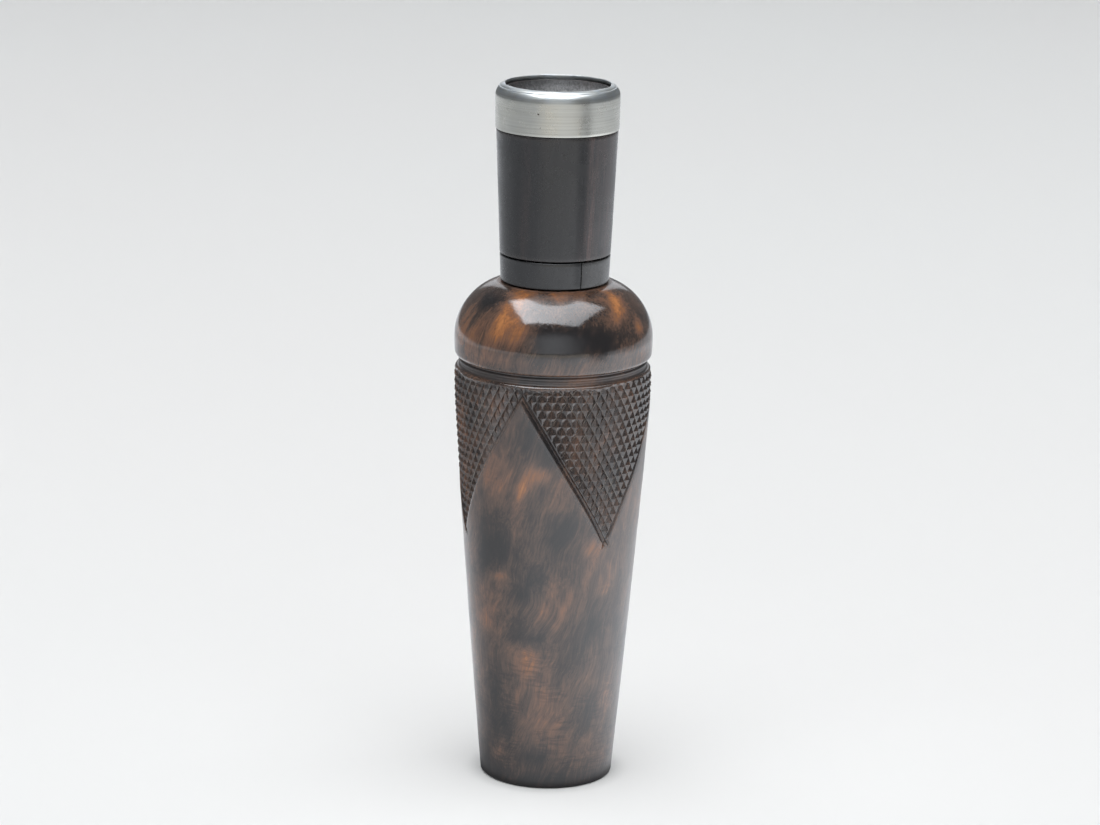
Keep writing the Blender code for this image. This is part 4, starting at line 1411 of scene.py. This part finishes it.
@dataclass
class Studio:
    """A pale seamless floor, a softbox overhead, and the camera.

    Reflections don't see this floor and softbox. They see a card in the place of each, whose
    glow is uneven like a real floor's and a real softbox's, and two more cards: a dim room
    behind the camera and a wall behind the call. The softbox's middle and sides are shares of
    its height.
    """

    camera_place: tuple[float, float, float] = (-0.0004, -0.655, 0.2375)
    camera_pitch: float = 14.35
    camera_roll: float = 1.06
    focal_length: float = 118.538
    sensor_width: float = 36.0
    floor_radius: float = 1.4
    cove_radius: float = 0.8
    wall_height: float = 1.6
    floor_grey: float = 0.79
    near_lift: float = 0.105
    far_lift: float = 0.08
    softbox_height: float = 1.6
    softbox_middle: tuple[float, float, float] = (0.03, -0.175, 1.0)
    softbox_sides: tuple[float, float] = (1.19, 1.08)
    softbox_turn: float = -8.0
    softbox_radiance: float = 3.02
    softbox_glow: tuple[float, float] = (5.4, 2.6)
    room_glow: float = 0.18
    room_tint: Colour = (0.92, 0.96, 1.0)
    wall_glow: float = 1.1
    warm: Colour = (1.06, 1.0, 0.90)
    cool: Colour = (0.95, 0.985, 1.035)
    near_by_azimuth: tuple[tuple[float, float], ...] = (
        (-180.0, 1.5), (-160.0, 1.45), (-140.0, 1.2), (-115.0, 0.74), (-85.0, 0.56), (-40.0, 0.80),
        (-20.0, 1.0), (20.0, 1.15), (60.0, 1.5), (90.0, 1.6), (120.0, 1.45), (140.0, 1.3), (160.0, 1.25),
        (180.0, 1.4),
    )
    near_by_distance: tuple[tuple[float, float], ...] = (
        (0.0125, 0.1), (0.0138, 0.6), (0.018, 0.62), (0.03, 0.82), (0.06, 1.04), (0.2, 1.0), (0.33, 1.02),
        (0.38, 0.95), (0.42, 0.82), (0.5, 0.65),
    )

    def build_camera(self) -> bpy.types.Object:
        """Make the camera, make it the scene's, and return it."""
        lens = bpy.data.cameras.new("camera")
        lens.sensor_width = self.sensor_width
        lens.lens = self.focal_length
        lens.clip_end = 20.0
        camera = bpy.data.objects.new("camera", lens)
        turn = Matrix.Rotation(math.radians(90.0 - self.camera_pitch), 4, "X")
        roll = Matrix.Rotation(math.radians(self.camera_roll), 4, "Z")
        camera.matrix_world = Matrix.Translation(self.camera_place) @ turn @ roll
        bpy.context.scene.collection.objects.link(camera)
        bpy.context.scene.camera = camera
        return camera

    def build_floor(self) -> bpy.types.Object:
        """Make the floor that sweeps up into the background on every side.

        Formula: a profile of radius and z, flat, then a quarter circle, then straight up,
        turned round the axis. It glows faintly close to the call's foot, by
        exp(-(distance / 71 mm)^2), and again far out.

        Returns:
            The floor.
        """
        angle = np.radians(np.linspace(0.0, 90.0, 33))
        radius = np.concatenate([[1.0 * MM], self.floor_radius + self.cove_radius * np.sin(angle),
                                 [self.floor_radius + self.cove_radius]])
        z = np.concatenate([[0.0], self.cove_radius * (1.0 - np.cos(angle)), [self.wall_height]])
        theta, radius = np.meshgrid(np.linspace(0.0, 2.0 * math.pi, 97), radius)
        made, nodes, shader = start_material("paper", Roughness=0.8, Specular_IOR_Level=0.0)
        place = nodes.add("ShaderNodeTexCoord").outputs["Object"]
        tone = nodes.remap(nodes.noise(place, 1.5, 2.0), 0.3, 0.7)
        grey, cool = self.floor_grey, self.floor_grey + 0.012
        nodes.put(shader.inputs["Base Color"], nodes.mix(tone, (grey, grey, grey), (grey, cool, cool)))
        away = nodes.add("ShaderNodeVectorMath", {"operation": "LENGTH"}, in0=place).outputs["Value"]
        falling = nodes.math("MULTIPLY", nodes.math("POWER", away, 2.0), -200.0)
        lift = nodes.math("MULTIPLY", nodes.math("EXPONENT", falling), self.near_lift)
        lift = nodes.math("MULTIPLY", lift, nodes.remap(away, 12.2 * MM, 16.0 * MM))
        far_lift = nodes.remap(away, 0.25, 1.2, 0.0, self.far_lift)
        nodes.put(shader.inputs["Emission Color"], (1.0, 1.0, 1.0))
        nodes.put(shader.inputs["Emission Strength"], nodes.math("ADD", lift, far_lift))
        z = np.repeat(z[:, None], theta.shape[1], axis=1)
        floor = sheet("floor", stack_polar(theta, radius, z), made)
        floor.visible_glossy = False
        return floor

    def add_card(self, name: str, grid: np.ndarray, glow: np.ndarray, warmth: np.ndarray) -> None:
        """Add a glowing card that only reflections see.

        Args:
            name: The card's name.
            grid: Its points, (rows, columns, 3).
            glow: Its radiance at each point.
            warmth: 0 to 1, how warm its light is at each point.
        """
        made, nodes, shader = start_material(name, Specular_IOR_Level=0.0)
        nodes.put(shader.inputs["Base Color"], (0.0, 0.0, 0.0))
        nodes.put(shader.inputs["Emission Color"], nodes.mix(nodes.attribute("warmth"), self.cool, self.warm))
        nodes.put(shader.inputs["Emission Strength"], nodes.attribute("glow"))
        card = sheet(name, grid, made)
        paint(card, "glow", glow)
        paint(card, "warmth", warmth)
        card.visible_camera = card.visible_diffuse = card.visible_shadow = False

    def build_cards(self) -> None:
        """Lay the floor's card, stand one behind the camera and one behind the call, and hang the softbox's.

        Formula: the softbox's card fades evenly from left to right, the one behind the camera
        is brightest low in its middle, and the one behind the call is even.
        """
        self.lay_floor_card()

        across, up = np.meshgrid(np.linspace(-1.6, 1.6, 17), np.linspace(0.0, 1.4, 9))
        glow = self.room_glow + 0.60 * np.exp(-(across / 0.8) ** 2) * (1.0 - smoothstep(0.7, 1.4, up))
        room = np.stack([across, np.full(across.shape, -1.6), up], axis=-1)
        self.add_card("room_card", room, glow, 0.0 * up)
        wall = np.stack([0.25 * across, np.full(across.shape, 1.4), up + 0.25], axis=-1)
        self.add_card("wall_card", wall, np.full(across.shape, self.wall_glow), 0.0 * up)

        across, along = np.meshgrid(np.linspace(-0.5, 0.5, 9), np.linspace(-0.5, 0.5, 3))
        wide, long = self.softbox_sides
        local = np.stack([across * wide, along * long, 0.0 * across], axis=-1) * self.softbox_height
        twist = np.array(Matrix.Rotation(math.radians(self.softbox_turn), 3, "Z"))
        grid = local @ twist.T + np.array(self.softbox_middle) * self.softbox_height
        left, right = self.softbox_glow
        self.add_card("softbox_card", grid, left + (right - left) * (across + 0.5), 0.0 * across)

    def lay_floor_card(self) -> None:
        """Lay the card that stands for the floor in reflections.

        Formula: near the call it glows by azimuth times distance. From about half a metre out,
        where the metal band looks, a warm zone lies in front and a dark gap to its right. Nearer
        in, the glow is a little weaker in that gap, in a ring behind, and at the far left and
        right.
        """
        azimuth, distance = np.meshgrid(np.linspace(-180.0, 180.0, 181), np.geomspace(0.01, 1.2, 40))
        angle = np.radians(azimuth)
        level = np.full(angle.shape, 0.5 * MM)
        grid = np.stack([distance * np.sin(angle), -distance * np.cos(angle), level], axis=-1)
        gap = smoothstep(39.0, 45.0, azimuth) * (1.0 - smoothstep(60.0, 68.0, azimuth))
        front = smoothstep(-34.0, -28.0, azimuth) * (1.0 - smoothstep(39.0, 45.0, azimuth))
        behind = smoothstep(85.0, 130.0, np.abs(azimuth))
        hollow = smoothstep(0.13, 0.22, distance) * (1.0 - smoothstep(0.29, 0.35, distance))
        far_left = smoothstep(0.25, 0.33, distance) * smoothstep(-95.0, -125.0, azimuth)
        far_right = smoothstep(0.26, 0.30, distance) * smoothstep(130.0, 150.0, azimuth)

        near = np.interp(azimuth, *zip(*self.near_by_azimuth))
        near = near * np.interp(distance, *zip(*self.near_by_distance))
        near = near * (1.0 - 0.45 * gap * smoothstep(0.25, 0.33, distance))
        near = near * (1.0 - 0.35 * hollow * behind) * (1.0 - 0.32 * far_left) * (1.0 - 0.25 * far_right)
        far = 0.82 + 0.12 * front - 0.50 * gap - 0.08 * smoothstep(68.0, 90.0, azimuth) + 0.05 * behind
        far = far * (1.0 - 0.75 * smoothstep(0.72, 1.2, distance))
        share = smoothstep(0.45, 0.56, distance)
        self.add_card("floor_card", grid, near + (far - near) * share, share * front)

    def build_lights(self) -> None:
        """Light the call from a large softbox overhead, in a dim, faintly blue room."""
        data = bpy.data.lights.new("softbox", "AREA")
        data.shape = "RECTANGLE"
        data.size, data.size_y = (side * self.softbox_height for side in self.softbox_sides)
        data.energy = self.softbox_radiance * data.size * data.size_y * math.pi
        light = bpy.data.objects.new("softbox", data)
        middle = Matrix.Translation(Vector(self.softbox_middle) * self.softbox_height)
        light.matrix_world = middle @ Matrix.Rotation(math.radians(self.softbox_turn), 4, "Z")
        light.visible_glossy = False
        bpy.context.scene.collection.objects.link(light)
        world = bpy.data.worlds.new("studio")
        world.use_nodes = True
        backdrop = world.node_tree.nodes["Background"]
        backdrop.inputs["Color"].default_value = (*self.room_tint, 1.0)
        backdrop.inputs["Strength"].default_value = self.room_glow
        bpy.context.scene.world = world
        bpy.context.scene.view_settings.view_transform = "Standard"


def report(piece: bpy.types.Object) -> None:
    """Log a piece's name, size in millimetres and number of faces."""
    size = " x ".join(f"{side / MM:.1f}" for side in piece.dimensions)
    log.info("%s: %s mm, %d faces", piece.name, size, len(piece.data.polygons))


def main() -> None:
    """Build the studio, the barrel, the stem and the insert, in that order."""
    logging.basicConfig(level=logging.INFO, format="%(name)s: %(message)s")
    studio = Studio()
    studio.build_camera()
    studio.build_floor()
    studio.build_cards()
    studio.build_lights()

    effects = SharedEffects()
    burl = BurlFinish().build(effects)
    dark_wood = DarkWoodFinish().build(effects)
    rubber = HardRubberFinish().build(effects)
    metal = WhiteMetalFinish().build(effects)
    brass = BrassFinish().build(effects)

    report(Barrel().build(burl))
    stem = Stem()
    report(stem.build_stem(dark_wood))
    report(stem.build_band(metal))
    insert = ReedInsert()
    for side in Side:
        report(insert.build_half(side, rubber))
    report(insert.build_reed(brass))
    for which in ("left", "right"):
        report(insert.build_pin(which, brass))


if __name__ == "__main__":
    main()
